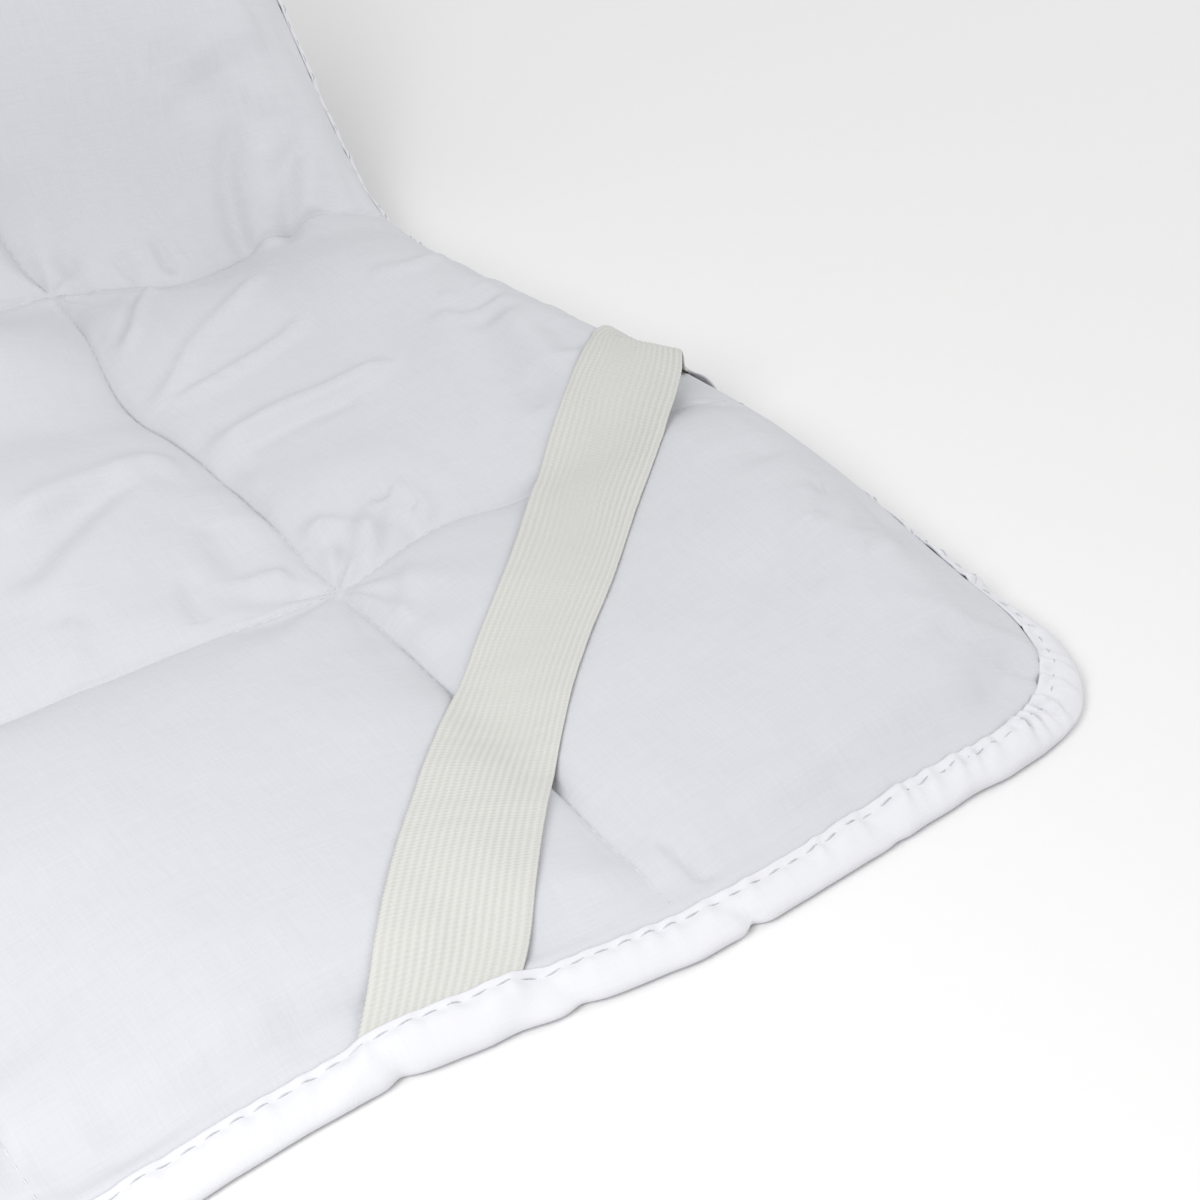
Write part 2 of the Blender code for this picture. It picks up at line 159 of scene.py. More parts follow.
# Folds of the seen corner: those of the wave first, then the flat part, the crossing and the corner itself
FOLDS = (
    Fold(0.0030, -0.0022, ((0.037, 0.340), (0.044, 0.322), (0.047, 0.309), (0.054, 0.288))),
    Fold(0.0043, 0.0019, ((0.031, 0.333), (0.038, 0.318), (0.041, 0.303), (0.049, 0.281))),
    Fold(0.0028, -0.0022, ((0.020, 0.331), (0.030, 0.319), (0.033, 0.303), (0.044, 0.276))),
    Fold(0.0039, 0.0016, ((0.020, 0.323), (0.026, 0.311), (0.032, 0.289))),
    Fold(0.0026, -0.0019, ((0.080, 0.305), (0.084, 0.294))),
    Fold(0.0026, -0.0018, ((0.096, 0.303), (0.098, 0.293))),
    Fold(0.0026, -0.0018, ((0.111, 0.308), (0.115, 0.288))),
    Fold(0.0022, 0.0019, ((0.033, 0.345), (0.026, 0.341), (0.019, 0.339))),
    Fold(0.0052, 0.0027, ((0.060, 0.348), (0.041, 0.359), (0.028, 0.362), (0.017, 0.363))),
    Fold(0.0060, -0.0024, ((0.056, 0.360), (0.045, 0.349), (0.034, 0.348))),
    Fold(0.0021, 0.0022, ((0.099, 0.278), (0.113, 0.249), (0.119, 0.244))),
    Fold(0.0022, -0.0016, ((0.101, 0.276), (0.112, 0.254), (0.119, 0.246))),
    Fold(0.0019, 0.0016, ((0.060, 0.262), (0.079, 0.250), (0.097, 0.239), (0.114, 0.223), (0.125, 0.219))),
    Fold(0.0019, 0.0019, ((0.063, 0.237), (0.091, 0.223), (0.108, 0.218), (0.120, 0.220))),
    Fold(0.0030, 0.0032, ((0.057, 0.201), (0.078, 0.198), (0.091, 0.198), (0.103, 0.198), (0.113, 0.196),
                          (0.119, 0.198), (0.126, 0.195))),
    Fold(0.0034, -0.0016, ((0.077, 0.193), (0.093, 0.194), (0.108, 0.193), (0.117, 0.193))),
    Fold(0.0019, 0.0016, ((0.022, 0.211), (0.031, 0.210), (0.036, 0.215))),
    Fold(0.0019, 0.0016, ((0.023, 0.200), (0.031, 0.202), (0.037, 0.201), (0.041, 0.209))),
    Fold(0.0019, 0.0014, ((0.019, 0.237), (0.032, 0.233), (0.041, 0.239))),
    Fold(0.0052, -0.0030, ((0.026, 0.216), (0.034, 0.198), (0.039, 0.181), (0.048, 0.152))),
    Fold(0.0052, 0.0022, ((0.031, 0.196), (0.036, 0.178), (0.041, 0.163))),
    Fold(0.0043, -0.0022, ((0.025, 0.185), (0.030, 0.166))),
    Fold(0.0034, 0.0028, ((0.122, 0.153), (0.119, 0.154), (0.113, 0.149), (0.109, 0.140), (0.107, 0.135))),
    Fold(0.0026, -0.0018, ((0.118, 0.152), (0.113, 0.145), (0.113, 0.139), (0.112, 0.136))),
    Fold(0.0034, 0.0018, ((0.098, 0.148), (0.093, 0.140), (0.092, 0.135))),
    Fold(0.0030, -0.0012, ((0.102, 0.143), (0.098, 0.138), (0.096, 0.134))),
    Fold(0.0024, 0.0014, ((0.131, 0.148), (0.134, 0.142), (0.134, 0.137))),
    Fold(0.0022, 0.0010, ((0.106, 0.128), (0.114, 0.120), (0.121, 0.112))),
    Fold(0.0065, 0.0024, ((0.139, 0.193), (0.159, 0.177), (0.177, 0.164), (0.185, 0.154))),
    Fold(0.0060, -0.0019, ((0.144, 0.194), (0.161, 0.186), (0.177, 0.173), (0.187, 0.164))),
    Fold(0.0052, -0.0019, ((0.135, 0.171), (0.138, 0.160), (0.139, 0.147))),
    Fold(0.0030, 0.0030, ((0.180, 0.188), (0.169, 0.191), (0.153, 0.194), (0.139, 0.196), (0.128, 0.194))),
    Fold(0.0034, 0.0016, ((0.025, 0.087), (0.030, 0.081), (0.034, 0.073))),
    Fold(0.0031, -0.0019, ((0.022, 0.087), (0.027, 0.081), (0.031, 0.076))),
    Fold(0.0043, -0.0019, ((0.022, 0.075), (0.023, 0.068))),
    Fold(0.0021, 0.0014, ((0.029, 0.062), (0.025, 0.061), (0.020, 0.063))),
    Fold(0.0060, -0.0016, ((0.027, 0.111), (0.027, 0.100))),
    Fold(0.0019, 0.0012, ((0.031, 0.049), (0.028, 0.043), (0.023, 0.037), (0.017, 0.032), (0.011, 0.023))),
    Fold(0.0021, -0.0012, ((0.032, 0.040), (0.026, 0.032), (0.020, 0.024), (0.015, 0.015), (0.014, 0.011))),
    Fold(0.0021, 0.0009, ((0.042, 0.060), (0.040, 0.055))),
    Fold(0.0019, -0.0019, ((0.093, 0.138), (0.101, 0.152))),
    Fold(0.0019, 0.0014, ((0.186, 0.137), (0.180, 0.152))),
    Fold(0.0021, -0.0016, ((0.156, 0.138), (0.150, 0.155))),
    Fold(0.0019, -0.0016, ((0.112, 0.012), (0.116, 0.028))),
)
DENTS = (
    Form(0.045, 0.069, 0.010, 0.008, 0.0, -0.0012),
    Form(0.016, 0.081, 0.010, 0.012, 0.0, -0.0014),
    Form(0.152, 0.250, 0.016, 0.020, 0.0, 0.0020),
)

# Notches of the seen edge: place along it, width and depth
NOTCHES = (
    (0.068, 0.0022, 0.0018),
    (0.107, 0.0030, 0.0010),
    (0.144, 0.0026, 0.0012),
    (0.030, 0.0024, 0.0006),
)

# How far from its corner a band's middle line meets the end edge and the side edge
BAND_REACH = (0.1835, 0.1750)

# How far a slack band bows from that line, by the share of its run
BAND_BOW = (
    (0.00, 0.0000),
    (0.06, 0.0010),
    (0.115, 0.0040),
    (0.195, 0.0082),
    (0.295, 0.0112),
    (0.38, 0.0118),
    (0.476, 0.0106),
    (0.595, 0.0074),
    (0.66, 0.0048),
    (0.73, 0.0024),
    (0.80, 0.0012),
    (1.00, 0.0000),
)
PLACE = "cloth_place"


@dataclass(frozen=True)
class Cut:
    """The topper as it was cut and quilted."""

    width: float = 0.900
    length: float = 2.000
    corner_radius: float = 0.043
    first_row_a: float = 0.123
    first_row_b: float = 0.134
    rows_between_a: int = 5
    rows_between_b: int = 11
    hem: float = 0.0102

    def seams_a(self) -> Array:
        """Places of the hem lines and the lengthwise seams, across the width."""
        inner = np.linspace(self.first_row_a, self.width - self.first_row_a, self.rows_between_a + 1)
        return np.concatenate(([self.hem], inner, [self.width - self.hem]))

    def seams_b(self) -> Array:
        """Places of the hem lines and the crosswise seams, along the length."""
        inner = np.linspace(self.first_row_b, self.length - self.first_row_b, self.rows_between_b + 1)
        return np.concatenate(([self.hem], inner, [self.length - self.hem]))

    def edge_distance(self, a: Array, b: Array) -> Array:
        """Distance of cloth places from the nearest edge."""
        return np.minimum(np.minimum(a, self.width - a), np.minimum(b, self.length - b))

    def rounded(self, a: Array, b: Array) -> tuple[Array, Array]:
        """Moves places in the square corner zones onto arcs, so that the corners are round.

        Args:
            a: Distances from the right edge.
            b: Distances from the front edge.

        Returns:
            The moved a and b.
        """
        left = a > self.width / 2
        back = b > self.length / 2
        in_a = np.clip(self.corner_radius - np.where(left, self.width - a, a), 0.0, None)
        in_b = np.clip(self.corner_radius - np.where(back, self.length - b, b), 0.0, None)
        longest = np.maximum(in_a, in_b)
        scale = longest / np.maximum(np.hypot(in_a, in_b), 1e-9)
        both = (in_a > 0) & (in_b > 0)
        near_a = self.corner_radius - in_a * scale
        near_b = self.corner_radius - in_b * scale
        round_a = np.where(left, self.width - near_a, near_a)
        round_b = np.where(back, self.length - near_b, near_b)
        return np.where(both, round_a, a), np.where(both, round_b, b)

    def edge_length(self) -> float:
        """Length once round the edge."""
        straight = 2 * (self.width + self.length) - 8 * self.corner_radius
        return straight + 2 * math.pi * self.corner_radius

    def ring(self, s: Array, inset: Array | float) -> tuple[Array, Array]:
        """Cloth places along the edge, from the seen corner along the front edge.

        Args:
            s: Distances along the edge.
            inset: Distances in from it.

        Returns:
            The places' a and b.
        """
        radius = self.corner_radius
        arc = radius * math.pi / 2
        sides = (self.width - 2 * radius, self.length - 2 * radius) * 2
        far_a, far_b = self.width - radius, self.length - radius
        centres = ((radius, radius), (far_a, radius), (far_a, far_b), (radius, far_b), (radius, radius))
        a, b = np.zeros_like(s), np.zeros_like(s)
        start = 0.0
        for index, side in enumerate(sides):
            turn = math.radians(90.0 * (index - 1))
            run = np.clip(s - start, 0.0, side)
            angle = turn + np.clip((s - start - side) / radius, 0.0, math.pi / 2)
            centre_a = centres[index][0] + run * -math.sin(turn)
            centre_b = centres[index][1] + run * math.cos(turn)
            here = (s >= start) & (s <= start + side + arc + 1e-9)
            a = np.where(here, centre_a + np.cos(angle) * (radius - inset), a)
            b = np.where(here, centre_b + np.sin(angle) * (radius - inset), b)
            start += side + arc
        return a, b


@dataclass(frozen=True)
class LaidCloth:
    """How the cloth lies: its wave, soft forms and drawn-in edges."""

    cut: Cut = Cut()
    wave_take_up: float = 0.066
    wave_steps: int = 48
    wave_rows: tuple[WaveRow, ...] = (
        WaveRow(0.000, 0.286, 61.0),
        WaveRow(0.125, 0.290, 63.0),
        WaveRow(0.330, 0.288, 61.5),
        WaveRow(0.620, 0.302, 65.0),
        WaveRow(0.900, 0.316, 62.0),
    )
    forms: tuple[Form, ...] = (
        Form(0.205, 0.256, 0.085, 0.024, 4.0, 0.0150),
        Form(0.185, 0.196, 0.060, 0.014, -6.0, 0.0040),
        Form(0.062, 0.250, 0.030, 0.020, 12.0, 0.0040),
        Form(0.720, 0.262, 0.120, 0.028, -5.0, 0.0090),
        Form(0.900, 0.640, 0.060, 0.080, 0.0, 0.0070),
    )
    shifts: tuple[Shift, ...] = (
        Shift(0.123, 0.292, 0.045, 0.030, -0.0050, 0.0020),
        Shift(0.123, 0.230, 0.045, 0.028, 0.0060, 0.0000),
        Shift(0.060, 0.140, 0.045, 0.022, 0.0000, 0.0050),
        Shift(0.090, 0.287, 0.024, 0.018, 0.0000, -0.0090),
        Shift(0.092, 0.140, 0.022, 0.018, 0.0000, 0.0070),
    )
    curl_deg: float = 54.0
    curl_width: float = 0.0200
    curl_ramp: float = 0.0100
    curl_from: tuple[float, float] = (0.000, 0.088)
    curl_back: tuple[float, float] = (0.380, 0.480)
    curl_across: tuple[float, float] = (0.030, 0.090)
    lift_across: tuple[float, float] = (0.020, 0.090)
    lift_along: tuple[float, float] = (0.310, 0.380)
    draw_in: float = 0.0225
    draw_in_from: tuple[float, float] = (0.118, 0.270)
    draw_in_back: tuple[float, float] = (0.520, 0.760)
    draw_in_across: float = 0.130
    draw_forward: float = 0.024
    draw_forward_from: tuple[float, float] = (0.160, 0.290)
    tuck: float = 0.0032
    tuck_at: float = 0.060
    tuck_half: float = 0.030
    wander: float = 0.0027
    wander_level: float = 0.0010
    wander_pitch: float = 0.145
    wander_crest: float = 0.190
    wander_from: tuple[float, float] = (0.000, 0.030)
    wander_across: tuple[float, float] = (0.250, 0.400)
    wander_along: tuple[float, float] = (0.020, 0.110)
    shift_rim: float = 0.030
    slope_step: float = 0.0010

    def laid_length(self) -> float:
        """Length of the topper as it lies."""
        return self.cut.length - self.wave_take_up

    def wave(self, a: Array, b: Array) -> tuple[Array, Array, Array]:
        """Follows the cloth along its length, over the wave.

        Args:
            a: Distances from the right edge.
            b: Distances from the front edge, on the cloth.

        Returns:
            How far along the floor and how high each place lies, and its slope in radians.
        """
        places = [row.a for row in self.wave_rows]
        start = np.interp(a, places, [row.start for row in self.wave_rows])
        steepness = np.radians(np.interp(a, places, [row.steepness_deg for row in self.wave_rows]))
        ticks = (np.arange(self.wave_steps) + 0.5) / self.wave_steps
        kept_share = np.mean(np.cos(steepness[..., None] * np.sin(2 * math.pi * ticks)), axis=-1)
        span = self.wave_take_up / (1.0 - kept_share)
        share = np.clip((b - start) / span, 0.0, 1.0)
        angles = steepness[..., None] * np.sin(2 * math.pi * share[..., None] * ticks)
        along = span * share * np.mean(np.cos(angles), axis=-1)
        height = span * share * np.mean(np.sin(angles), axis=-1)
        after = np.clip(b - start - span, 0.0, None)
        return np.minimum(b, start) + along + after, height, steepness * np.sin(2 * math.pi * share)

    def edge_shift(self, a: Array, b: Array) -> tuple[Array, Array]:
        """Shifts of the cloth along a and b, where the wave pulls its right edge and the front edge wanders.

        Args:
            a: Distances from the right edge.
            b: Distances from the front edge.

        Returns:
            The shifts away from the right edge and away from the front edge.
        """
        held = (1.0 - smooth(b, *self.draw_in_back)) * (1.0 - smooth(a, 0.0, self.draw_in_across))
        tuck = self.tuck * np.exp(-((b - self.tuck_at) / self.tuck_half) ** 2)
        inward = (self.draw_in * smooth(b, *self.draw_in_from) + tuck) * held
        backward = -self.draw_forward * smooth(b, *self.draw_forward_from) * held
        fade = smooth(a, *self.wander_from) * (1.0 - smooth(a, *self.wander_across))
        fade = fade * (1.0 - smooth(b, *self.wander_along))
        crest = self.wander * np.cos(2 * math.pi * (a - self.wander_crest) / self.wander_pitch)
        return inward, backward + fade * (self.wander_level + crest)

    def curl(self, a: Array, b: Array) -> tuple[Array, Array, Array]:
        """How the right edge arches up and then turns down to the floor.

        Args:
            a: Distances from the right edge.
            b: Distances from the front edge.

        Returns:
            The shifts away from the right edge and away from the front edge, and the rise of the surface.
        """
        along = smooth(b, *self.curl_from) * (1.0 - smooth(b, *self.curl_back))
        steepest = math.radians(self.curl_deg) * along * (1.0 - smooth(a, *self.curl_across)) + 1e-9
        in_a = np.clip(self.cut.corner_radius - a, 0.0, None)
        in_b = np.clip(self.cut.corner_radius - b, 0.0, None)
        reach = np.hypot(in_a, in_b)
        turned = np.clip(self.curl_width - self.cut.corner_radius + reach, 0.0, None)
        ramp = np.minimum(turned, self.curl_ramp)
        angle = steepest * ramp / self.curl_ramp + 1e-9
        rest = np.clip(turned - self.curl_ramp, 0.0, None)
        flat = ramp * np.sin(angle) / angle + rest * np.cos(angle)
        drop = ramp * (1.0 - np.cos(angle)) / angle + rest * np.sin(angle)
        whole = self.curl_ramp * (1.0 - np.cos(steepest)) / steepest
        whole = whole + (self.curl_width - self.curl_ramp) * np.sin(steepest)
        on_floor = 1.0 - smooth(b, *self.lift_along)
        lift = whole * (1.0 - smooth(a, *self.lift_across)) * on_floor
        rise = lift - drop
        rise = np.where(on_floor > 0.999, np.maximum(rise, 0.0), rise)
        loss = (turned - flat) / np.maximum(reach, 1e-9)
        return in_a * loss, in_b * loss, rise

    def surface(self, a: Array, b: Array) -> Array:
        """World places of the surface that the topper lies on, as its own underside follows it.

        Args:
            a: Distances from the right edge.
            b: Distances from the front edge.

        Returns:
            The places, with x, y and z on the last axis.
        """
        along, height, slope = self.wave(a, b)
        inward, backward = self.edge_shift(a, b)
        away = smooth(self.cut.edge_distance(a, b), 0.0, self.shift_rim)
        for row in self.shifts:
            inward = inward + row.along_a * hill(a, b, row) * away
            backward = backward + row.along_b * hill(a, b, row) * away
        for row in self.forms:
            height = height + row.height * hill(a, b, row, row.turn_deg)
        turned_in, turned_back, rise = self.curl(a, b)
        x = self.cut.width / 2 - a - inward - turned_in
        middle = (self.laid_length() - self.wander + self.wander_level) / 2
        y = along + backward + turned_back - middle - rise * np.sin(slope)
        return np.stack([x, y, np.maximum(height + rise * np.cos(slope), 0.0)], axis=-1)

    def points(self, a: Array, b: Array, rise: Array | float) -> Array:
        """World places of cloth places that stand off the surface below.

        Args:
            a: Distances from the right edge.
            b: Distances from the front edge.
            rise: How far each stands off, square to the surface.

        Returns:
            The places, with x, y and z on the last axis.
        """
        step = self.slope_step
        base = self.surface(a, b)
        across = self.surface(a - step, b) - self.surface(a + step, b)
        along = self.surface(a, b + step) - self.surface(a, b - step)
        normal = np.cross(across, along)
        normal = normal / np.linalg.norm(normal, axis=-1, keepdims=True)
        return base + normal * (np.zeros(base.shape[:-1]) + rise)[..., None]


@dataclass(frozen=True)
class SoftNoise:
    """Smooth random hills over the cloth, between -1 and 1."""

    seed: int
    pitch_a: float
    pitch_b: float

    def at(self, a: Array, b: Array) -> Array:
        """Height of the hills at cloth places."""
        rows = int(2.2 / self.pitch_b) + 3
        columns = int(1.1 / self.pitch_a) + 3
        lattice = np.random.default_rng(self.seed).uniform(-1.0, 1.0, (rows, columns))
        at_b = np.clip(b / self.pitch_b + 1.0, 0.0, rows - 1.001)
        at_a = np.clip(a / self.pitch_a + 1.0, 0.0, columns - 1.001)
        row, column = at_b.astype(int), at_a.astype(int)
        up, side = smooth(at_b - row, 0.0, 1.0), smooth(at_a - column, 0.0, 1.0)
        low = lattice[row, column] * (1 - side) + lattice[row, column + 1] * side
        high = lattice[row + 1, column] * (1 - side) + lattice[row + 1, column + 1] * side
        return low * (1 - up) + high * up

    def along(self, s: Array, total: float) -> Array:
        """Height of the hills along a closed line of a total length, with about pitch_b between them."""
        count = round(total / self.pitch_b)
        lattice = np.random.default_rng(self.seed).uniform(-1.0, 1.0, count)
        at = s * count / total
        index = np.floor(at).astype(int)
        share = smooth(at - index, 0.0, 1.0)
        return lattice[index % count] * (1 - share) + lattice[(index + 1) % count] * share


class Signal:
    """A value socket of a material, on which Python's operators add Math nodes."""

    def __init__(self, graph: "Graph", socket: bpy.types.NodeSocket) -> None:
        """Wraps a socket of a graph's node."""
        self.graph = graph
        self.socket = socket

    def math(self, operation: str, *others: "Signal | float", first: bool = True) -> "Signal":
        """Adds one Math node.

        Args:
            operation: Its operation, in Blender's words.
            others: The other values that it takes.
            first: Whether this value comes before the others.

        Returns:
            The node's result.
        """
        values = (self, *others) if first else (*others, self)
        node = self.graph.node("ShaderNodeMath", {"operation": operation}, dict(enumerate(values)))
        return Signal(self.graph, node.outputs[0])

    def __add__(self, other: "Signal | float") -> "Signal":
        """Sum of two values."""
        return self.math("ADD", other)

    def __radd__(self, other: "Signal | float") -> "Signal":
        """Sum of two values."""
        return self.math("ADD", other)

    def __sub__(self, other: "Signal | float") -> "Signal":
        """Difference of two values."""
        return self.math("SUBTRACT", other)

    def __rsub__(self, other: "Signal | float") -> "Signal":
        """Difference of two values, this one taken away."""
        return self.math("SUBTRACT", other, first=False)

    def __mul__(self, other: "Signal | float") -> "Signal":
        """Product of two values."""
        return self.math("MULTIPLY", other)

    def __rmul__(self, other: "Signal | float") -> "Signal":
        """Product of two values."""
        return self.math("MULTIPLY", other)


class Graph:
    """The nodes of one material."""

    def __init__(self, name: str) -> None:
        """Makes a material with an empty graph."""
        self.material = bpy.data.materials.new(name)
        self.material.use_nodes = True
        self.material.node_tree.nodes.clear()

    def node(self, kind: str, settings: dict | None = None, inputs: dict | None = None) -> bpy.types.Node:
        """Adds one node.

        Args:
            kind: Its type, in Blender's words.
            settings: Its own settings, and a ramp's stops under the name stops.
            inputs: Values or links of its sockets, by name or number.

        Returns:
            The node.
        """
        made = self.material.node_tree.nodes.new(kind)
        for name, value in (settings or {}).items():
            if name == "stops":
                for index, (place, colour) in enumerate(value):
                    stops = made.color_ramp.elements
                    stop = stops[index] if index < len(stops) else stops.new(place)
                    stop.position = place
                    stop.color = (*colour, 1.0)
            else:
                setattr(made, name, value)
        for key, value in (inputs or {}).items():
            if isinstance(value, Signal):
                value = value.socket
            if isinstance(value, bpy.types.NodeSocket):
                self.material.node_tree.links.new(value, made.inputs[key])
            else:
                made.inputs[key].default_value = value
        return made

    def value(self, kind: str, settings: dict | None = None, inputs: dict | None = None) -> Signal:
        """Adds one node and wraps its first output."""
        return Signal(self, self.node(kind, settings, inputs).outputs[0])

    def place(self) -> bpy.types.NodeSocket:
        """The cloth place that a piece's vertices carry, in metres."""
        return self.node("ShaderNodeAttribute", {"attribute_name": PLACE}).outputs["Vector"]

    def stretched(self, vector: bpy.types.NodeSocket, pitch: Place) -> bpy.types.NodeSocket:
        """Scales a place so that a texture's unit is a pitch.

        Args:
            vector: The place, in metres.
            pitch: Size of one unit of the texture along each axis, in metres.

        Returns:
            The scaled place.
        """
        scale = tuple(1.0 / size for size in pitch)
        return self.node("ShaderNodeVectorMath", {"operation": "MULTIPLY"}, {0: vector, 1: scale}).outputs[0]

    def noise(self, vector: bpy.types.NodeSocket, pitch: Place, detail: float = 2.0) -> Signal:
        """A noise from 0 to 1 whose hills have a size along each axis, in metres."""
        inputs = {"Vector": self.stretched(vector, pitch), "Scale": 1.0, "Detail": detail, "Roughness": 0.55}
        return self.value("ShaderNodeTexNoise", {}, inputs)

    def mixed(self, factor: Signal, low: Colour, high: Colour) -> bpy.types.NodeSocket:
        """A colour between two, by a factor."""
        inputs = {0: factor, 6: (*low, 1.0), 7: (*high, 1.0)}
        return self.node("ShaderNodeMix", {"data_type": "RGBA"}, inputs).outputs[2]

    def finish(self, colour: bpy.types.NodeSocket, roughness: Signal, relief: Signal, depth: float,
               constants: dict[str, float | tuple]) -> bpy.types.Material:
        """Ends the graph with its shader.

        Args:
            colour: The surface's colour.
            roughness: The surface's roughness.
            relief: Its fine relief, from 0 to 1.
            depth: The relief's depth, in metres.
            constants: Values of the shader's own sockets that are the same all over.

        Returns:
            The material.
        """
        bump = self.node("ShaderNodeBump", {}, {"Height": relief, "Distance": depth, "Strength": 1.0})
        inputs = {"Base Color": colour, "Roughness": roughness, "Normal": bump.outputs[0], **constants}
        shader = self.node("ShaderNodeBsdfPrincipled", {}, inputs)
        self.node("ShaderNodeOutputMaterial", {}, {"Surface": shader.outputs[0]})
        self.material.diffuse_color = (0.8, 0.8, 0.8, 1.0)
        return self.material


@dataclass(frozen=True)
class CottonFinish:
    """Smooth, tightly woven white cotton with faint uneven threads."""

    name: str
    deep: Colour = (0.562, 0.568, 0.600)
    pale: Colour = (0.672, 0.678, 0.712)
    thread: float = 0.00055
    thread_length: float = 0.0140
    crumple: float = 0.0050
    relief_depth: float = 0.00022
    roughness: float = 0.78

    def material(self) -> bpy.types.Material:
        """Builds the finish."""
        graph = Graph(self.name)
        place = graph.place()
        warp = graph.noise(place, (self.thread, self.thread_length, 1.0))
        weft = graph.noise(place, (self.thread_length, self.thread, 1.0))
        crumple = graph.noise(place, (self.crumple, self.crumple, 1.0))
        weave = warp * 0.5 + weft * 0.5
        # Painted shade: part of the colour follows the crumple relief, darker in its hollows; the weave
        # streaks are the threads' own uneven tone.
        colour = graph.mixed(weave * 0.8 + crumple * 0.2, self.deep, self.pale)
        roughness = self.roughness + (weave - 0.5) * 0.2
        relief = weave * 0.55 + crumple * 0.45
        constants = {"Sheen Weight": 0.06, "Sheen Roughness": 0.5, "Specular IOR Level": 0.25}
        return graph.finish(colour, roughness, relief, self.relief_depth, constants)


@dataclass(frozen=True)
class ThreadFinish:
    """Sewing thread with a faint twist; its default colours are grey, darker than white thread, as painted
    shade along the stitch line.
    """

    name: str
    # Painted shade: these default colours are greyed so that the stitch line reads dark, as its shade does.
    deep: Colour = (0.52, 0.53, 0.56)
    pale: Colour = (0.66, 0.67, 0.70)
    twist: float = 0.00060

    def material(self) -> bpy.types.Material:
        """Builds the finish."""
        graph = Graph(self.name)
        twist = graph.noise(graph.place(), (self.twist, self.twist, 1.0))
        colour = graph.mixed(twist, self.deep, self.pale)
        constants = {"Specular IOR Level": 0.3}
        return graph.finish(colour, 0.6 + twist * 0.1, twist, 0.00008, constants)


@dataclass(frozen=True)
class ElasticFinish:
    """Ivory knitted elastic: chains of small loops along each rib, and fine weft between."""

    name: str
    deep: Colour = (0.535, 0.533, 0.508)
    pale: Colour = (0.700, 0.698, 0.668)
    rib: float = 0.00139
    loop: float = 0.00095
    relief_depth: float = 0.00016

    def material(self) -> bpy.types.Material:
        """Builds the finish."""
        graph = Graph(self.name)
        place = graph.place()
        parts = graph.node("ShaderNodeSeparateXYZ", {}, {0: place})
        across, along = Signal(graph, parts.outputs[0]), Signal(graph, parts.outputs[1])
        drift = graph.noise(place, (0.0030, 0.0120, 1.0))
        turn = 2.0 * math.pi
        ribs = (across * (turn / self.rib)).math("COSINE") * 0.5 + 0.5
        chevron = (across * (turn / self.rib)).math("SINE") * 0.35
        loops = (along * (turn / self.loop) + chevron + drift * 3.0).math("COSINE") * 0.5 + 0.5
        fuzz = graph.noise(place, (0.00035, 0.00050, 1.0))
        # Partly the yarn's own tone (fuzz) and partly painted shade: the colour is darker in the grooves
        # between ribs and between loops, where the relief is low.
        tone_and_groove_shade = ribs * 0.36 + loops * 0.14 + fuzz * 0.50
        colour = graph.mixed(tone_and_groove_shade, self.deep, self.pale)
        relief = loops * 0.40 + ribs * 0.20 + fuzz * 0.40
        constants = {"Sheen Weight": 0.08, "Sheen Roughness": 0.45, "Specular IOR Level": 0.3}
        return graph.finish(colour, 0.80 - tone_and_groove_shade * 0.15, relief, self.relief_depth, constants)


@dataclass(frozen=True)
class FloorFinish:
    """Plain pale paper."""

    name: str
    deep: Colour = (0.836, 0.836, 0.834)
    pale: Colour = (0.852, 0.852, 0.850)

    def material(self) -> bpy.types.Material:
        """Builds the finish."""
        graph = Graph(self.name)
        where = graph.node("ShaderNodeTexCoord").outputs["Object"]
        grain = graph.noise(where, (0.004, 0.004, 0.004), 3.0)
        colour = graph.mixed(grain, self.deep, self.pale)
        return graph.finish(colour, 0.75 + grain * 0.1, grain, 0.00002, {"Specular IOR Level": 0.2})


@dataclass
class Shape:
    """Points, faces and cloth places gathered for one mesh."""

    points: list[Array] = field(default_factory=list)
    faces: list[tuple[int, ...]] = field(default_factory=list)
    places: list[Array] = field(default_factory=list)
    count: int = 0

    def add(self, points: Array, faces: Array | list, places: Array) -> None:
        """Adds a part.

        Args:
            points: Its world points.
            faces: Its faces, by the numbers of its own points.
            places: Its points' cloth places, a and b.
        """
        self.points.append(points.reshape(-1, 3))
        self.places.append(places.reshape(-1, 2))
        self.faces.extend(tuple(int(number) + self.count for number in face) for face in faces)
        self.count += len(self.points[-1])

    def add_grid(self, points: Array, places: Array, closed: bool = False, flipped: bool = False) -> None:
        """Adds a sheet on a grid of points.

        Args:
            points: World points in rows and columns.
            places: Their cloth places, in the same rows and columns.
            closed: Whether the last column joins the first.
            flipped: Whether its faces look the other way.
        """
        self.add(points, grid_faces(*points.shape[:2], closed, flipped), places)

    def piece(self, name: str, material: bpy.types.Material) -> bpy.types.Object:
        """Makes the piece, which rides on the topper's one body."""
        mesh = bpy.data.meshes.new(name)
        mesh.from_pydata(np.concatenate(self.points).tolist(), [], self.faces)
        places = np.concatenate(self.places)
        flat = np.column_stack([places, np.zeros(len(places))])
        mesh.attributes.new(PLACE, "FLOAT_VECTOR", "POINT").data.foreach_set("vector", flat.ravel())
        mesh.materials.append(material)
        mesh.shade_smooth()
        mesh.validate()
        made = bpy.data.objects.new(name, mesh)
        bpy.context.scene.collection.objects.link(made)
        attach(made, "root")
        log.info("%s: %d faces", name, len(mesh.polygons))
        return made


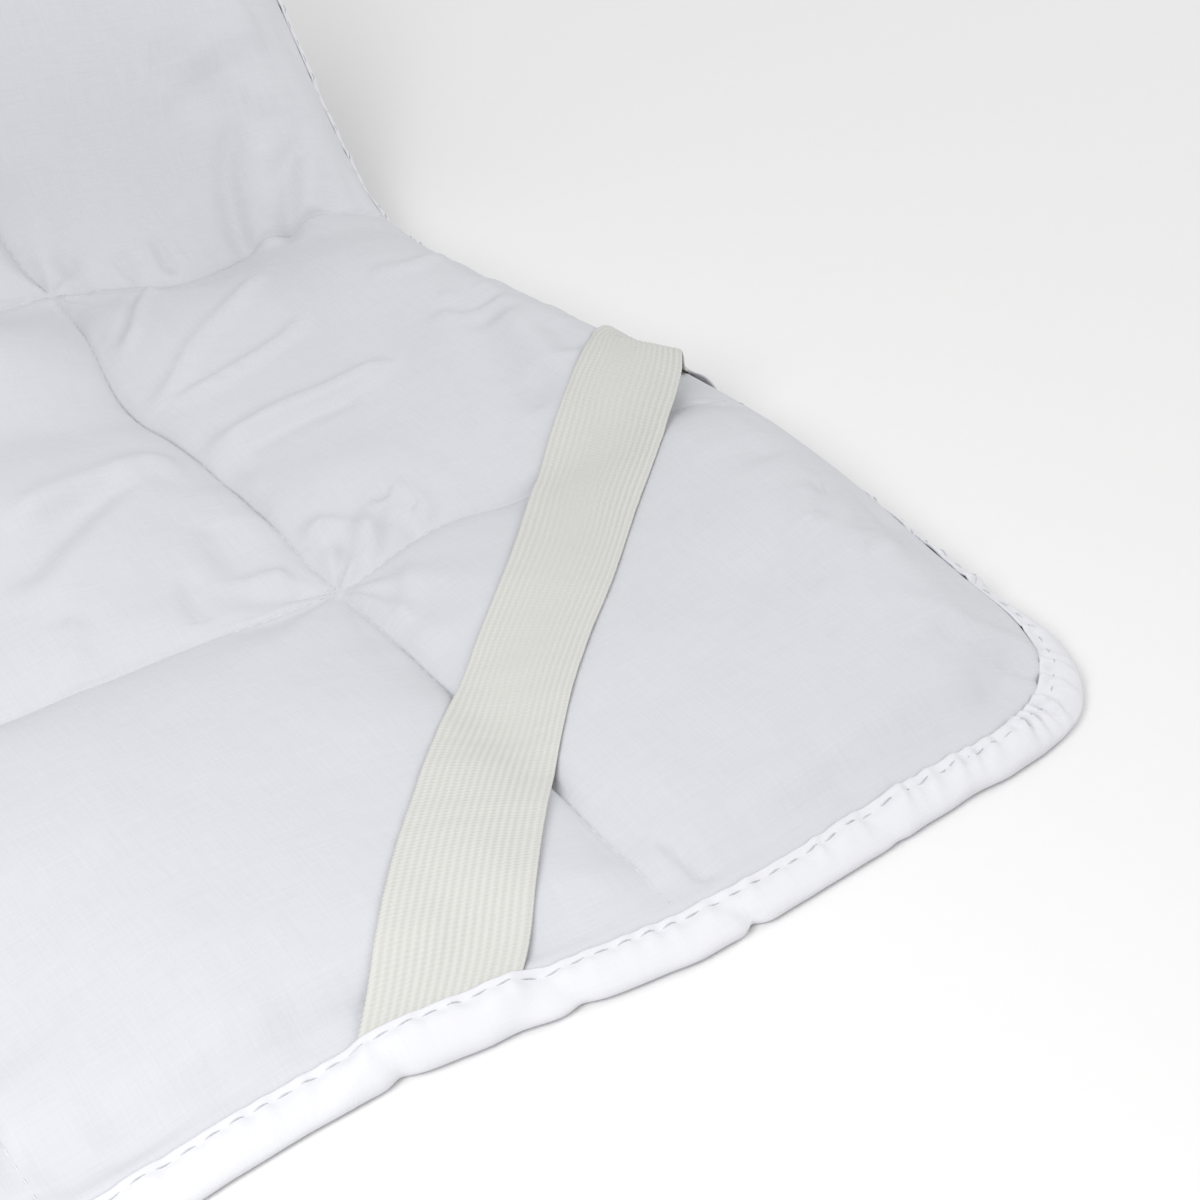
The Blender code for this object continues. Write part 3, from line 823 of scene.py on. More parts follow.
def grid_faces(rows: int, columns: int, closed: bool = False, flipped: bool = False) -> Array:
    """Faces of a grid of points.

    Args:
        rows: Number of rows.
        columns: Number of points in a row.
        closed: Whether the last column joins the first.
        flipped: Whether the faces look the other way.

    Returns:
        Four point numbers for each face.
    """
    across = columns if closed else columns - 1
    row, column = np.meshgrid(np.arange(rows - 1), np.arange(across), indexing="ij")
    beside = (column + 1) % columns
    low, high = row * columns, (row + 1) * columns
    corners = [low + column, low + beside, high + beside, high + column]
    faces = np.stack(corners, axis=-1).reshape(-1, 4)
    return faces[:, ::-1] if flipped else faces


@dataclass(frozen=True)
class Relief:
    """What the filling and the sewing do to the pad's upper face, beyond its plain quilting."""

    cut: Cut = Cut()
    folds: tuple[Fold, ...] = FOLDS
    dents: tuple[Form, ...] = DENTS
    pucker: float = 0.00115
    pucker_reach: float = 0.0085
    gather: float = 0.00130
    gather_reach: float = 0.0260
    fold_step: float = 0.0008
    low: float = 0.00110
    crossing: float = 0.0009
    crossing_reach: float = 0.012
    crossing_half: float = 0.07
    ray_counts: tuple[int, ...] = (4, 7, 10)
    hem_line: float = 0.016
    hem_share: float = 0.80
    seam_share: float = 0.25
    seam_rise: float = 0.0030
    inside_from: tuple[float, float] = (0.0100, 0.0165)
    seed: int = 41

    def seam_gap(self, place: Array, seams: Array) -> Array:
        """Distance from the nearest of the seams across one direction."""
        return np.min(np.abs(place[..., None] - seams[1:-1]), axis=-1)

    def fold(self, a: Array, b: Array, row: Fold) -> Array:
        """Height of one fold at cloth places.

        Args:
            a: Distances from the right edge.
            b: Distances from the front edge.
            row: The fold.

        Returns:
            Its height at each place.
        """
        corners = np.array(row.places)
        runs = np.concatenate(([0.0], np.cumsum(np.hypot(*np.diff(corners, axis=0).T))))
        share = np.linspace(0.0, 1.0, round(runs[-1] / self.fold_step) + 2)
        steps = np.linspace(-0.09, 0.09, 5)
        line = [np.mean([np.interp((share + step) * runs[-1], runs, side) for step in steps], axis=0)
                for side in corners.T]
        margin = 3.0 * row.width
        near = (a > line[0].min() - margin) & (a < line[0].max() + margin)
        near = near & (b > line[1].min() - margin) & (b < line[1].max() + margin)
        gaps = np.hypot(a[near][:, None] - line[0], b[near][:, None] - line[1])
        nearest = share[np.argmin(gaps, axis=1)]
        taper = smooth(nearest, -0.04, 0.18) * (1.0 - smooth(nearest, 0.80, 1.02))
        total = np.zeros_like(a)
        total[near] = row.height * taper * np.exp(-(gaps.min(axis=1) / row.width) ** 2)
        return total

    def puckers(self, a: Array, b: Array) -> Array:
        """Small wrinkles that run away from the seams, at cloth places."""
        total = np.zeros_like(a)
        hem_a = np.abs(np.minimum(a, self.cut.width - a) - self.hem_line)
        hem_b = np.abs(np.minimum(b, self.cut.length - b) - self.hem_line)
        directions = (
            (self.seam_gap(a, self.cut.seams_a()), (0.050, 0.0075), (0.080, 0.0170), 0),
            (self.seam_gap(b, self.cut.seams_b()), (0.0075, 0.050), (0.0170, 0.080), 10),
            (hem_a, (0.045, 0.0062), (0.070, 0.0160), 20),
            (hem_b, (0.0062, 0.045), (0.0160, 0.070), 30),
        )
        for gap, fine, coarse, seed in directions:
            start = self.seam_share + (1.0 - self.seam_share) * smooth(gap, 0.0, self.seam_rise)
            near = SoftNoise(self.seed + seed, *fine).at(a, b) * np.exp(-gap / self.pucker_reach)
            far = SoftNoise(self.seed + seed + 1, *coarse).at(a, b) * np.exp(-gap / self.gather_reach)
            share = 1.0 if seed < 20 else self.hem_share
            total = total + share * start * (self.pucker * near + self.gather * far)
        return total

    def crossings(self, a: Array, b: Array) -> Array:
        """Wrinkles that spread like rays from where two seams cross, at cloth places."""
        draws = np.random.default_rng(self.seed + 50)
        total = np.zeros_like(a)
        for seam_a in self.cut.seams_a()[1:-1]:
            for seam_b in self.cut.seams_b()[1:-1]:
                phases = draws.uniform(0.0, 2 * math.pi, len(self.ray_counts))
                off_a, off_b = a - seam_a, b - seam_b
                near = np.maximum(np.abs(off_a), np.abs(off_b)) < self.crossing_half
                angle = np.arctan2(off_b[near], off_a[near])
                reach = np.hypot(off_a[near], off_b[near]) / self.crossing_reach
                rays = sum(np.cos(count * angle + phase) for count, phase in zip(self.ray_counts, phases))
                total[near] += self.crossing * rays / 2.0 * reach * np.exp(1.0 - reach)
        return total

    def height(self, a: Array, b: Array) -> Array:
        """Height of the whole relief at cloth places."""
        inside = smooth(self.cut.edge_distance(a, b), *self.inside_from)
        wide = SoftNoise(self.seed + 60, 0.034, 0.040).at(a, b)
        broad = wide + 0.5 * SoftNoise(self.seed + 61, 0.015, 0.018).at(a, b)
        total = self.low * broad + self.puckers(a, b) + self.crossings(a, b)
        for row in self.folds:
            total = total + self.fold(a, b, row)
        for row in self.dents:
            total = total + row.height * hill(a, b, row, row.turn_deg)
        return total * inside


@dataclass(frozen=True)
class QuiltedPad:
    """The filled pad: two cotton faces quilted over a fibre filling."""

    laid: LaidCloth = LaidCloth()
    relief: Relief = Relief()
    seam_thickness: float = 0.0050
    crown_thickness: float = 0.0145
    crown_fullness: float = 0.40
    seam_softness: float = 0.012
    hem_rise: float = 0.0013
    hem_foot: float = 0.0160
    hem_shape: tuple[tuple[float, float], ...] = (
        (0.0034, 0.0014),
        (0.0060, 0.0020),
        (0.0090, 0.0027),
        (0.0097, 0.0034),
        (0.0112, 0.0040),
    )
    hem_bank: tuple[float, float] = (0.0092, 0.0250)
    seam_crowding: float = 0.55
    hem_lines: tuple[float, ...] = (0.0034, 0.0046, 0.0060, 0.0075, 0.0090, 0.0096)
    steps_a: tuple[tuple[float, float], ...] = ((0.0, 0.0015), (0.12, 0.0022), (0.25, 0.0048), (0.38, 0.0100))
    steps_b: tuple[tuple[float, float], ...] = ((0.0, 0.0017), (0.13, 0.0015), (0.29, 0.0028), (0.44, 0.0062),
                                                (0.60, 0.0104))
    underside_every: int = 4

    def lines(self, seams: Array, total: float, steps: tuple[tuple[float, float], ...]) -> Array:
        """Places of the mesh lines across one direction, crowded at the seams.

        Args:
            seams: Places of the seams and hem lines.
            total: Size of the cloth in this direction.
            steps: Where each size of step starts, and the size.

        Returns:
            The places, from edge to edge.
        """
        lines = [*self.hem_lines, *(total - place for place in self.hem_lines)]
        starts, sizes = zip(*steps)
        for low, high in zip(seams[:-1], seams[1:]):
            size = sizes[np.searchsorted(starts, low + 1e-6) - 1]
            even = np.linspace(0.0, 1.0, max(4, round((high - low) / size)) + 1)
            crowded = 0.5 - 0.5 * np.cos(math.pi * even)
            lines += list(low + (high - low) * (even + self.seam_crowding * (crowded - even)))
        ordered = np.array(sorted(lines))
        return ordered[np.concatenate(([True], np.diff(ordered) > 1e-5))]

    def underside_rise(self, flat_a: Array, flat_b: Array) -> Array:
        """How far the underside stands off the surface, to leave room for the binding."""
        places = (self.laid.cut.hem, self.hem_foot)
        return np.interp(self.laid.cut.edge_distance(flat_a, flat_b), places, (self.hem_rise, 0.0))

    def thickness(self, flat_a: Array, flat_b: Array) -> Array:
        """Thickness of the pad without its relief.

        Args:
            flat_a: Distances from the right edge, before the corners are rounded.
            flat_b: Distances from the front edge, before the corners are rounded.

        Returns:
            The thickness at each place.
        """
        pillow = 1.0
        for place, seams in ((flat_a, self.laid.cut.seams_a()), (flat_b, self.laid.cut.seams_b())):
            index = np.interp(place, seams, np.arange(len(seams)))
            share = index - np.floor(index)
            raised = (4.0 * share * (1.0 - share) + self.seam_softness) ** self.crown_fullness
            floor = self.seam_softness ** self.crown_fullness
            pillow = pillow * (raised - floor) / ((1.0 + self.seam_softness) ** self.crown_fullness - floor)
        filled = self.seam_thickness + (self.crown_thickness - self.seam_thickness) * pillow
        gap = self.laid.cut.edge_distance(flat_a, flat_b)
        hem = np.interp(gap, *zip(*self.hem_shape))
        return hem + (filled - hem) * smooth(gap, *self.hem_bank)

    def rise(self, flat_a: Array, flat_b: Array) -> Array:
        """How far the upper face stands off the surface below the topper.

        Args:
            flat_a: Distances from the right edge, before the corners are rounded.
            flat_b: Distances from the front edge, before the corners are rounded.

        Returns:
            The heights.
        """
        a, b = self.laid.cut.rounded(flat_a, flat_b)
        rise = self.underside_rise(flat_a, flat_b) + self.thickness(flat_a, flat_b)
        return rise + self.relief.height(a, b)

    def top(self, flat_a: Array, flat_b: Array, above: float = 0.0) -> Array:
        """World places of the upper face.

        Args:
            flat_a: Distances from the right edge, before the corners are rounded.
            flat_b: Distances from the front edge, before the corners are rounded.
            above: How far above the upper face to look.

        Returns:
            The places.
        """
        a, b = self.laid.cut.rounded(flat_a, flat_b)
        return self.laid.points(a, b, self.rise(flat_a, flat_b) + above)

    def build(self, finish: bpy.types.Material) -> bpy.types.Object:
        """Builds the pad as one closed mesh, coarser underneath."""
        lines_a = self.lines(self.laid.cut.seams_a(), self.laid.cut.width, self.steps_a)
        lines_b = self.lines(self.laid.cut.seams_b(), self.laid.cut.length, self.steps_b)
        flat_a, flat_b = np.meshgrid(lines_a, lines_b)
        a, b = self.laid.cut.rounded(flat_a, flat_b)
        rows, columns = flat_a.shape
        kept_rows = sorted({*range(0, rows - 1, self.underside_every), rows - 1})
        kept_columns = sorted({*range(0, columns - 1, self.underside_every), columns - 1})
        below = np.ix_(kept_rows, kept_columns)
        underside = self.laid.points(a[below], b[below], self.underside_rise(flat_a[below], flat_b[below]))
        shape = Shape()
        shape.add_grid(self.top(flat_a, flat_b), np.stack([a, b], -1), flipped=True)
        shape.add_grid(underside, np.stack([a[below], b[below]], -1))
        shape.faces.extend(self.rim(rows, columns, kept_rows, kept_columns))
        made = shape.piece("quilted_pad", finish)
        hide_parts("pad")
        return made

    def rim(self, rows: int, columns: int, kept_rows: list[int],
            kept_columns: list[int]) -> list[tuple[int, ...]]:
        """Faces that close the pad's edge, between its fine upper rim and its coarse lower one.

        Args:
            rows: Number of rows of the upper face.
            columns: Number of points in a row of the upper face.
            kept_rows: Rows that the underside has too.
            kept_columns: Columns that the underside has too.

        Returns:
            The faces, by the numbers of the whole mesh's points.
        """
        wide = len(kept_columns)
        faces = []
        sides = (("front", kept_columns), ("back", kept_columns), ("right", kept_rows), ("left", kept_rows))
        for side, kept in sides:
            for index, (low, high) in enumerate(zip(kept[:-1], kept[1:])):
                if side in ("front", "back"):
                    row = 0 if side == "front" else rows - 1
                    upper = [row * columns + column for column in range(low, high + 1)]
                    first = rows * columns + (0 if side == "front" else len(kept_rows) - 1) * wide + index
                    lower = [first + 1, first]
                else:
                    column = 0 if side == "right" else columns - 1
                    upper = [row * columns + column for row in range(low, high + 1)]
                    first = rows * columns + index * wide + (0 if side == "right" else wide - 1)
                    lower = [first + wide, first]
                face = upper + lower
                faces.append(tuple(face if side in ("front", "left") else reversed(face)))
        return faces


@dataclass(frozen=True)
class Binding:
    """The strip folded round the pad's edge and sewn through it."""

    laid: LaidCloth = LaidCloth()
    section: tuple[tuple[float, float, float], ...] = (
        (0.0095, 0.00030, 0.0),
        (0.0078, 0.00010, 0.0),
        (0.0066, 0.00025, 0.0),
        (0.0052, 0.00005, 0.0),
        (0.0036, 0.00000, 0.0),
        (0.0020, 0.00010, 0.0),
        (0.0009, 0.00045, 0.0),
        (0.0002, 0.00110, 0.0),
        (0.0000, 0.00190, 0.0),
        (0.0003, 0.00270, 0.3),
        (0.0011, 0.00350, 0.5),
        (0.0023, 0.00420, 0.7),
        (0.0036, 0.00475, 0.9),
        (0.0048, 0.00510, 1.0),
        (0.0056, 0.00525, 1.0),
        (0.0064, 0.00525, 1.0),
        (0.0071, 0.00520, 1.0),
        (0.0076, 0.00512, 1.0),
        (0.0081, 0.00518, 1.0),
        (0.0087, 0.00528, 1.0),
        (0.0092, 0.00520, 1.0),
        (0.0095, 0.00500, 1.0),
    )
    thickness: float = 0.00055
    fine_step: float = 0.0009
    coarse_step: float = 0.0050
    fine_before: float = 0.40
    fine_after: float = 0.40
    stitch_inset: float = 0.0076
    stitch_draw: float = 0.0012
    corner_middle: float = 0.034
    corner_half: float = 0.060
    stitch_count: int = 1130
    gather: float = 0.00060
    corner_gather: float = 1.9
    lowest_gather: float = 0.8
    lip_hold: float = 0.35
    lip_from: tuple[float, float] = (0.0080, 0.0094)
    pleat: float = 1.7
    pleat_pitch: float = 0.0052
    dimple: float = 0.00042
    bulge: float = 0.0019
    bulge_from: tuple[float, float] = (0.014, 0.023)
    notches: tuple[tuple[float, float, float], ...] = NOTCHES
    seed: int = 77

    def stations(self) -> Array:
        """Places along the edge where the strip's section is put, close together near the seen corner."""
        total = self.laid.cut.edge_length()
        before = np.arange(total / 2, total - self.fine_before, self.coarse_step)
        seen = np.arange(total - self.fine_before, total + self.fine_after, self.fine_step)
        after = np.arange(total + self.fine_after, total * 1.5 - 1e-6, self.coarse_step)
        return np.concatenate([before, seen, after])

    def stitch_pitch(self) -> float:
        """Distance from stitch to stitch, which divides the edge evenly."""
        return self.laid.cut.edge_length() / self.stitch_count

    def band_bulge(self, a: Array, b: Array) -> Array:
        """Share of the strip's bulge where it passes over the end of a corner band."""
        cut = self.laid.cut
        near_a, near_b = np.minimum(a, cut.width - a), np.minimum(b, cut.length - b)
        off_line = np.abs(near_a + near_b - band_reach(near_b / (near_a + near_b)))
        return 1.0 - smooth(off_line, *self.bulge_from)

    def corner_share(self, s: Array) -> Array:
        """How near places along the edge are to the middle of the seen corner, from 0 to 1."""
        total = self.laid.cut.edge_length()
        off = (s + self.corner_middle + total / 2) % total - total / 2
        return np.exp(-(off / self.corner_half) ** 2)

    def stitch_line(self, s: Array) -> Array:
        """Distance of the stitch line from the edge at places along it."""
        return self.stitch_inset - self.stitch_draw * self.corner_share(s)

    def wrinkle(self, s: Array, inset: Array, top: Array) -> tuple[Array, Array]:
        """Gathers, stitch holes and notches of the strip.

        Args:
            s: Distances along the edge.
            inset: Distances in from the edge.
            top: 1 on the upper side and 0 below.

        Returns:
            How far each place is raised and how far it is pushed in.
        """
        total, pitch = self.laid.cut.edge_length(), self.stitch_pitch()
        noise = SoftNoise(self.seed, 1.0, 0.0026)
        wide = SoftNoise(self.seed + 1, 1.0, 0.0075)
        slow = SoftNoise(self.seed + 2, 1.0, 0.0260)
        corner = self.corner_share(s)
        from_stitch = inset - self.stitch_line(s)
        near_stitch = np.exp(-(from_stitch / (0.0030 + 0.0012 * corner)) ** 2)
        lean = s + 0.25 * from_stitch
        fine, coarse = noise.along(lean, total), wide.along(lean, total)
        gather = fine * near_stitch + 0.9 * coarse * (0.4 + 0.6 * near_stitch)
        pleats = np.cos(2 * math.pi * lean / self.pleat_pitch + 2.4 * coarse)
        gather = gather * (1.0 + self.corner_gather * corner) + self.pleat * corner * near_stitch * pleats
        held = 1.0 - self.lip_hold * smooth(inset, *self.lip_from)
        gather = np.maximum(gather, -self.lowest_gather) * held
        phase = (s / pitch + 0.5 + 0.16 * coarse) % 1.0 - 0.5
        hole = np.exp(-(phase * pitch / 0.0012) ** 2)
        groove = np.exp(-(from_stitch / 0.0012) ** 2)
        dimples = self.dimple * groove * (0.25 + 0.75 * hole) * (1.0 + 0.5 * fine)
        raised = top * (self.gather * gather - dimples)
        pushed = 0.0004 * wide.along(s, total) + 0.0005 * slow.along(s, total)
        for place, width, depth in self.notches:
            share = np.exp(-((s % total - place - 0.6 * inset) / width) ** 2)
            pushed = pushed + depth * share
            raised = raised - 0.5 * depth * share * top * np.exp(-(inset / 0.0090) ** 2)
        return raised, pushed * np.exp(-inset / 0.0060)

    def build(self, finish: bpy.types.Material) -> bpy.types.Object:
        """Builds the strip as one closed loop."""
        s = self.stations()
        rows, places = [], []
        for index, (inset, rise, bulge) in enumerate(self.section):
            top = 1.0 if rise > 0.0020 else 0.0
            raised, pushed = self.wrinkle(s, np.full_like(s, inset), np.full_like(s, top))
            a, b = self.laid.cut.ring(s % self.laid.cut.edge_length(), inset + pushed)
            lifted = rise + raised + bulge * self.bulge * self.band_bulge(a, b)
            rows.append(self.laid.points(a, b, lifted))
            places.append(np.stack([s, np.full_like(s, inset + index * 0.0004)], -1))
        shape = Shape()
        shape.add_grid(np.stack(rows), np.stack(places), closed=True, flipped=True)
        made = shape.piece("edge_binding", finish)
        solid = made.modifiers.new("thickness", "SOLIDIFY")
        solid.thickness = self.thickness
        solid.offset = -1.0
        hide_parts("binding")
        self.laid.cut.edge_length()
        return made


@dataclass(frozen=True)
class Stitching:
    """Rows of stitches: slim rounded lengths of thread whose ends go down into the cloth."""

    pad: QuiltedPad = QuiltedPad()
    binding: Binding = Binding()
    seam_pitch: float = 0.0036
    seam_length: float = 0.0027
    seam_width: float = 0.00036
    edge_length: float = 0.0039
    edge_width: float = 0.00036
    seam_arc: float = 0.00030
    seam_sink: float = 0.00018
    edge_arc: float = 0.00034
    edge_sink: float = 0.00016
    edge_height: float = 0.00512
    near_until: float = 0.60
    near_seams: int = 3

    def thread(self, shape: Shape, centres: Array, side: Array, width: float, sides: int) -> None:
        """Adds one stitch to a shape.

        Args:
            shape: Where it goes.
            centres: Its centre line, end to end.
            side: The direction across it.
            width: Its width.
            sides: Number of sides of its round section.
        """
        count = len(centres)
        run = centres[-1] - centres[0]
        up = np.cross(run / np.linalg.norm(run), side)
        swell = np.sin(np.linspace(0.12, 0.88, count) * math.pi) ** 0.5
        turns = np.linspace(0.0, 2 * math.pi, sides, endpoint=False)
        ring = np.cos(turns)[:, None] * side + np.sin(turns)[:, None] * up * 0.8
        points = centres[:, None, :] + ring[None] * (0.5 * width * swell)[:, None, None]
        places = np.stack(np.broadcast_arrays(centres[:, None, 0] * 1.0, turns[None] * 0.001), -1)
        faces = list(map(tuple, grid_faces(count, sides, closed=True)))
        faces += [tuple(range(sides))[::-1], tuple(range((count - 1) * sides, count * sides))]
        shape.add(points, faces, places)

    def seam_row(self, shape: Shape, fixed: float, low: float, high: float, lengthwise: bool, stations: int,
                 sides: int) -> None:
        """Adds the stitches of one quilting seam.

        Args:
            shape: Where they go.
            fixed: The seam's place across its run.
            low: Where its stitches start.
            high: Where they end.
            lengthwise: Whether it runs along the topper.
            stations: Points along each stitch.
            sides: Number of sides of each stitch.
        """
        starts = np.arange(low, high - self.seam_length, self.seam_pitch)
        share = np.linspace(0.0, 1.0, stations)
        run = starts[:, None] + self.seam_length * share
        lift = self.seam_arc * np.sin(math.pi * share) - self.seam_sink + np.zeros_like(run)
        fixed_places = np.full_like(run, fixed)
        a, b = (fixed_places, run) if lengthwise else (run, fixed_places)
        centres = self.pad.top(a, b, lift)
        for row in centres:
            direction = row[-1] - row[0]
            side = np.cross(direction, (0.0, 0.0, 1.0))
            self.thread(shape, row, side / np.linalg.norm(side), self.seam_width, sides)

    def build_seams(self, finish: bpy.types.Material) -> bpy.types.Object:
        """Builds the stitches of all quilting seams as one piece."""
        cut = self.pad.laid.cut
        shape = Shape()
        margin = cut.hem + 0.001
        for index, seam in enumerate(cut.seams_a()[1:-1]):
            near = index < self.near_seams
            split = self.near_until if near else margin
            if near:
                self.seam_row(shape, seam, margin, split, True, 5, 4)
            self.seam_row(shape, seam, split, cut.length - margin, True, 3, 3)
        for index, seam in enumerate(cut.seams_b()[1:-1]):
            near = index < self.near_seams
            self.seam_row(shape, seam, margin, cut.width - margin, False, 5 if near else 3, 4 if near else 3)
        return shape.piece("seam_stitches", finish)

    def build_edge(self, finish: bpy.types.Material) -> bpy.types.Object:
        """Builds the stitches along the binding as one piece."""
        cut, binding = self.pad.laid.cut, self.binding
        shape = Shape()
        centres = (np.arange(binding.stitch_count) + 0.5) * binding.stitch_pitch()
        share = np.linspace(0.0, 1.0, 6)
        s = centres[:, None] + self.edge_length * (share - 0.5)
        inset = binding.stitch_line(s)
        a, b = cut.ring(s, inset)
        height = self.edge_height + binding.bulge * binding.band_bulge(a, b)
        raised, _ = binding.wrinkle(s, inset, np.ones_like(s))
        arc = self.edge_arc * np.sin(math.pi * share) - self.edge_sink
        rows = self.pad.laid.points(a, b, height + raised + arc)
        for row in rows:
            side = np.cross(row[-1] - row[0], (0.0, 0.0, 1.0))
            self.thread(shape, row, side / np.linalg.norm(side), self.edge_width, 5)
        return shape.piece("binding_stitches", finish)


@dataclass(frozen=True)
class CornerBand:
    """One length of ribbed elastic across a corner, with both ends under the binding."""

    corner: Corner
    width: float = 0.0243
    thickness: float = 0.0009
    inset: float = 0.0045
    bow_spread: float = 0.030
    arch: float = 0.0106
    arch_shape: tuple[tuple[float, float], ...] = ((0.79, 0.0), (0.84, 0.45), (0.88, 1.0), (0.90, 0.8),
                                                   (0.93, 0.0))
    arch_spread: float = 0.010
    end_tuck: float = 0.0065
    end_tuck_from: tuple[float, float] = (0.860, 0.925)
    others_share: float = 0.12
    ribs: int = 18
    columns_per_rib: int = 6
    rib_depth: float = 0.00024
    step: float = 0.0016
    clearance: float = 0.00045
    rounding: float = 0.030
    rounding_across: float = 0.015
    other_columns: int = 4
    other_step: float = 1.8
    edge_fall: float = 0.0008
    edge_drop: float = 0.0003
    waver: float = 0.00012
    waver_pitch: float = 0.0030
    waver_seed: int = 90
    front_ribs: float = 0.30
    front_ribs_until: tuple[float, float] = (0.10, 0.45)
    rest_lines: int = 13

    @property
    def seen(self) -> bool:
        """Whether this is the band of the photographed corner."""
        return self.corner is Corner.FRONT_RIGHT

    @property
    def end_share(self) -> float:
        """How much of the raised, narrowed far end this band has."""
        return 1.0 if self.seen else self.others_share

    def places(self, share_along: Array, share_across: Array) -> tuple[Array, Array]:
        """Cloth places of the band, from its front end to its side end.

        Args:
            share_along: Shares along the band.
            share_across: Shares across it, from the corner's side.

        Returns:
            The distances from the near side edge and from the near end edge.
        """
        reach = band_reach(share_along) + math.sqrt(2) * self.width * (share_across - 0.5)
        b = self.inset + (reach - 2 * self.inset) * share_along
        steps = np.linspace(-self.bow_spread, self.bow_spread, 7)
        bow = sum(np.interp(share_along + step, *zip(*BAND_BOW)) for step in steps) / len(steps)
        last = 1.0 - smooth(share_along, 1.0 - self.bow_spread, 1.0)
        ends = smooth(share_along, 0.0, self.bow_spread) * last
        tucked = smooth(share_along, *self.end_tuck_from)
        tuck = self.end_share * self.end_tuck * (1.0 - share_across) * tucked
        return reach - b + 0.5 * bow * ends, b + 0.5 * bow * ends + tuck

    def resting_rise(self, pad: QuiltedPad, a: Array, b: Array) -> Array:
        """How far the pad below stands off the surface, rounded over hollows as the elastic spans them.

        Args:
            pad: The pad.
            a: Distances from the right edge, in rows across and stations along.
            b: Distances from the front edge, in the same rows.

        Returns:
            The heights.
        """
        heights = pad.rise(a, b)
        steps = np.hypot(np.diff(a[0]), np.diff(b[0]))
        heights = self.spanned(heights, np.concatenate(([0.0], np.cumsum(steps))), self.rounding)
        return self.spanned(heights.T, np.linspace(0.0, self.width, len(a)), self.rounding_across).T

    def spanned(self, heights: Array, places: Array, radius: float) -> Array:
        """Fills hollows that are tighter than a radius.

        Args:
            heights: Heights, in rows.
            places: Places along a row.
            radius: The tightest hollow that stays.

        Returns:
            The filled heights.
        """
        sag = (places[:, None] - places[None, :]) ** 2 / (2.0 * radius)
        swollen = np.max(heights[:, None, :] - sag[None], axis=2)
        return np.min(swollen[:, None, :] + sag[None], axis=2)

    def build(self, finish: bpy.types.Material, pad: QuiltedPad, below: bpy.types.Object) -> bpy.types.Object:
        """Builds the band on the pad.

        Args:
            finish: Its material.
            pad: The pad's shape.
            below: The pad that it rests on; not used.

        Returns:
            The band.
        """
        columns = self.ribs * (self.columns_per_rib if self.seen else self.other_columns) + 1
        length = (sum(BAND_REACH) / 2 - 2 * self.inset) * math.sqrt(2)
        stations = round(length / (self.step if self.seen else self.step * self.other_step)) + 1
        along, across = np.meshgrid(np.linspace(0.0, 1.0, stations), np.linspace(0.0, 1.0, columns))
        near_a, near_b = self.places(along, across)
        cut = pad.laid.cut
        a = cut.width - near_a if self.corner.left else near_a
        b = cut.length - near_b if self.corner.back else near_b
        kept = np.linspace(0, columns - 1, self.rest_lines).round().astype(int)
        coarse = self.resting_rise(pad, a[kept], b[kept])
        resting = np.stack([np.interp(np.arange(columns), kept, row) for row in coarse.T], axis=1)
        from_side = np.minimum(across, 1.0 - across) * self.width
        rib = 0.5 + 0.5 * np.cos(2 * math.pi * across * self.ribs)
        edge = smooth(from_side, 0.0, self.edge_fall)
        waver = self.waver * SoftNoise(self.waver_seed, 1.0, self.waver_pitch).along(along * length, 1.0)
        resting = resting + self.clearance + waver
        steps = np.linspace(-self.arch_spread, self.arch_spread, 5)
        arched = sum(np.interp(along + step, *zip(*self.arch_shape)) for step in steps) / len(steps)
        resting = resting + self.end_share * self.arch * (1.0 - across) * arched
        full = smooth(along, *self.front_ribs_until)
        depth = self.rib_depth * (self.front_ribs + (1.0 - self.front_ribs) * full)
        upper = self.thickness + depth * (rib - 1.0) * edge - self.edge_drop * (1.0 - edge)
        top = pad.laid.points(a, b, resting + upper)
        underside = pad.laid.points(a, b, resting)
        place = np.stack([across * self.width, along * length], -1)
        mirrored = self.corner.left != self.corner.back
        shape = Shape()
        shape.add_grid(top, place, flipped=mirrored)
        shape.add_grid(underside, place, flipped=not mirrored)
        shape.faces.extend(self.rim(columns, stations, mirrored))
        node = self.corner.value
        made = shape.piece(node.replace("elastic", "elastic_band"), finish)
        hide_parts(node)
        return made

    def rim(self, rows: int, columns: int, flipped: bool) -> list[tuple[int, ...]]:
        """Faces that join the band's upper and lower sheets round their edge.

        Args:
            rows: Number of rows of each sheet.
            columns: Number of points in a row.
            flipped: Whether the faces look the other way.

        Returns:
            The faces, by the numbers of the whole mesh's points.
        """
        first = list(range(columns))
        right = [row * columns + columns - 1 for row in range(rows)]
        last = [(rows - 1) * columns + column for column in reversed(range(columns))]
        left = [row * columns for row in reversed(range(rows))]
        loop = first + right[1:] + last[1:] + left[1:]
        below = rows * columns
        faces = []
        for start, end in zip(loop[:-1], loop[1:]):
            face = (start, start + below, end + below, end)
            faces.append(face[::-1] if flipped else face)
        return faces


@dataclass(frozen=True)
class Light:
    """A soft rectangular light that looks at a point."""

    name: str
    place: tuple[float, float, float]
    target: tuple[float, float, float]
    size: float
    watts: float


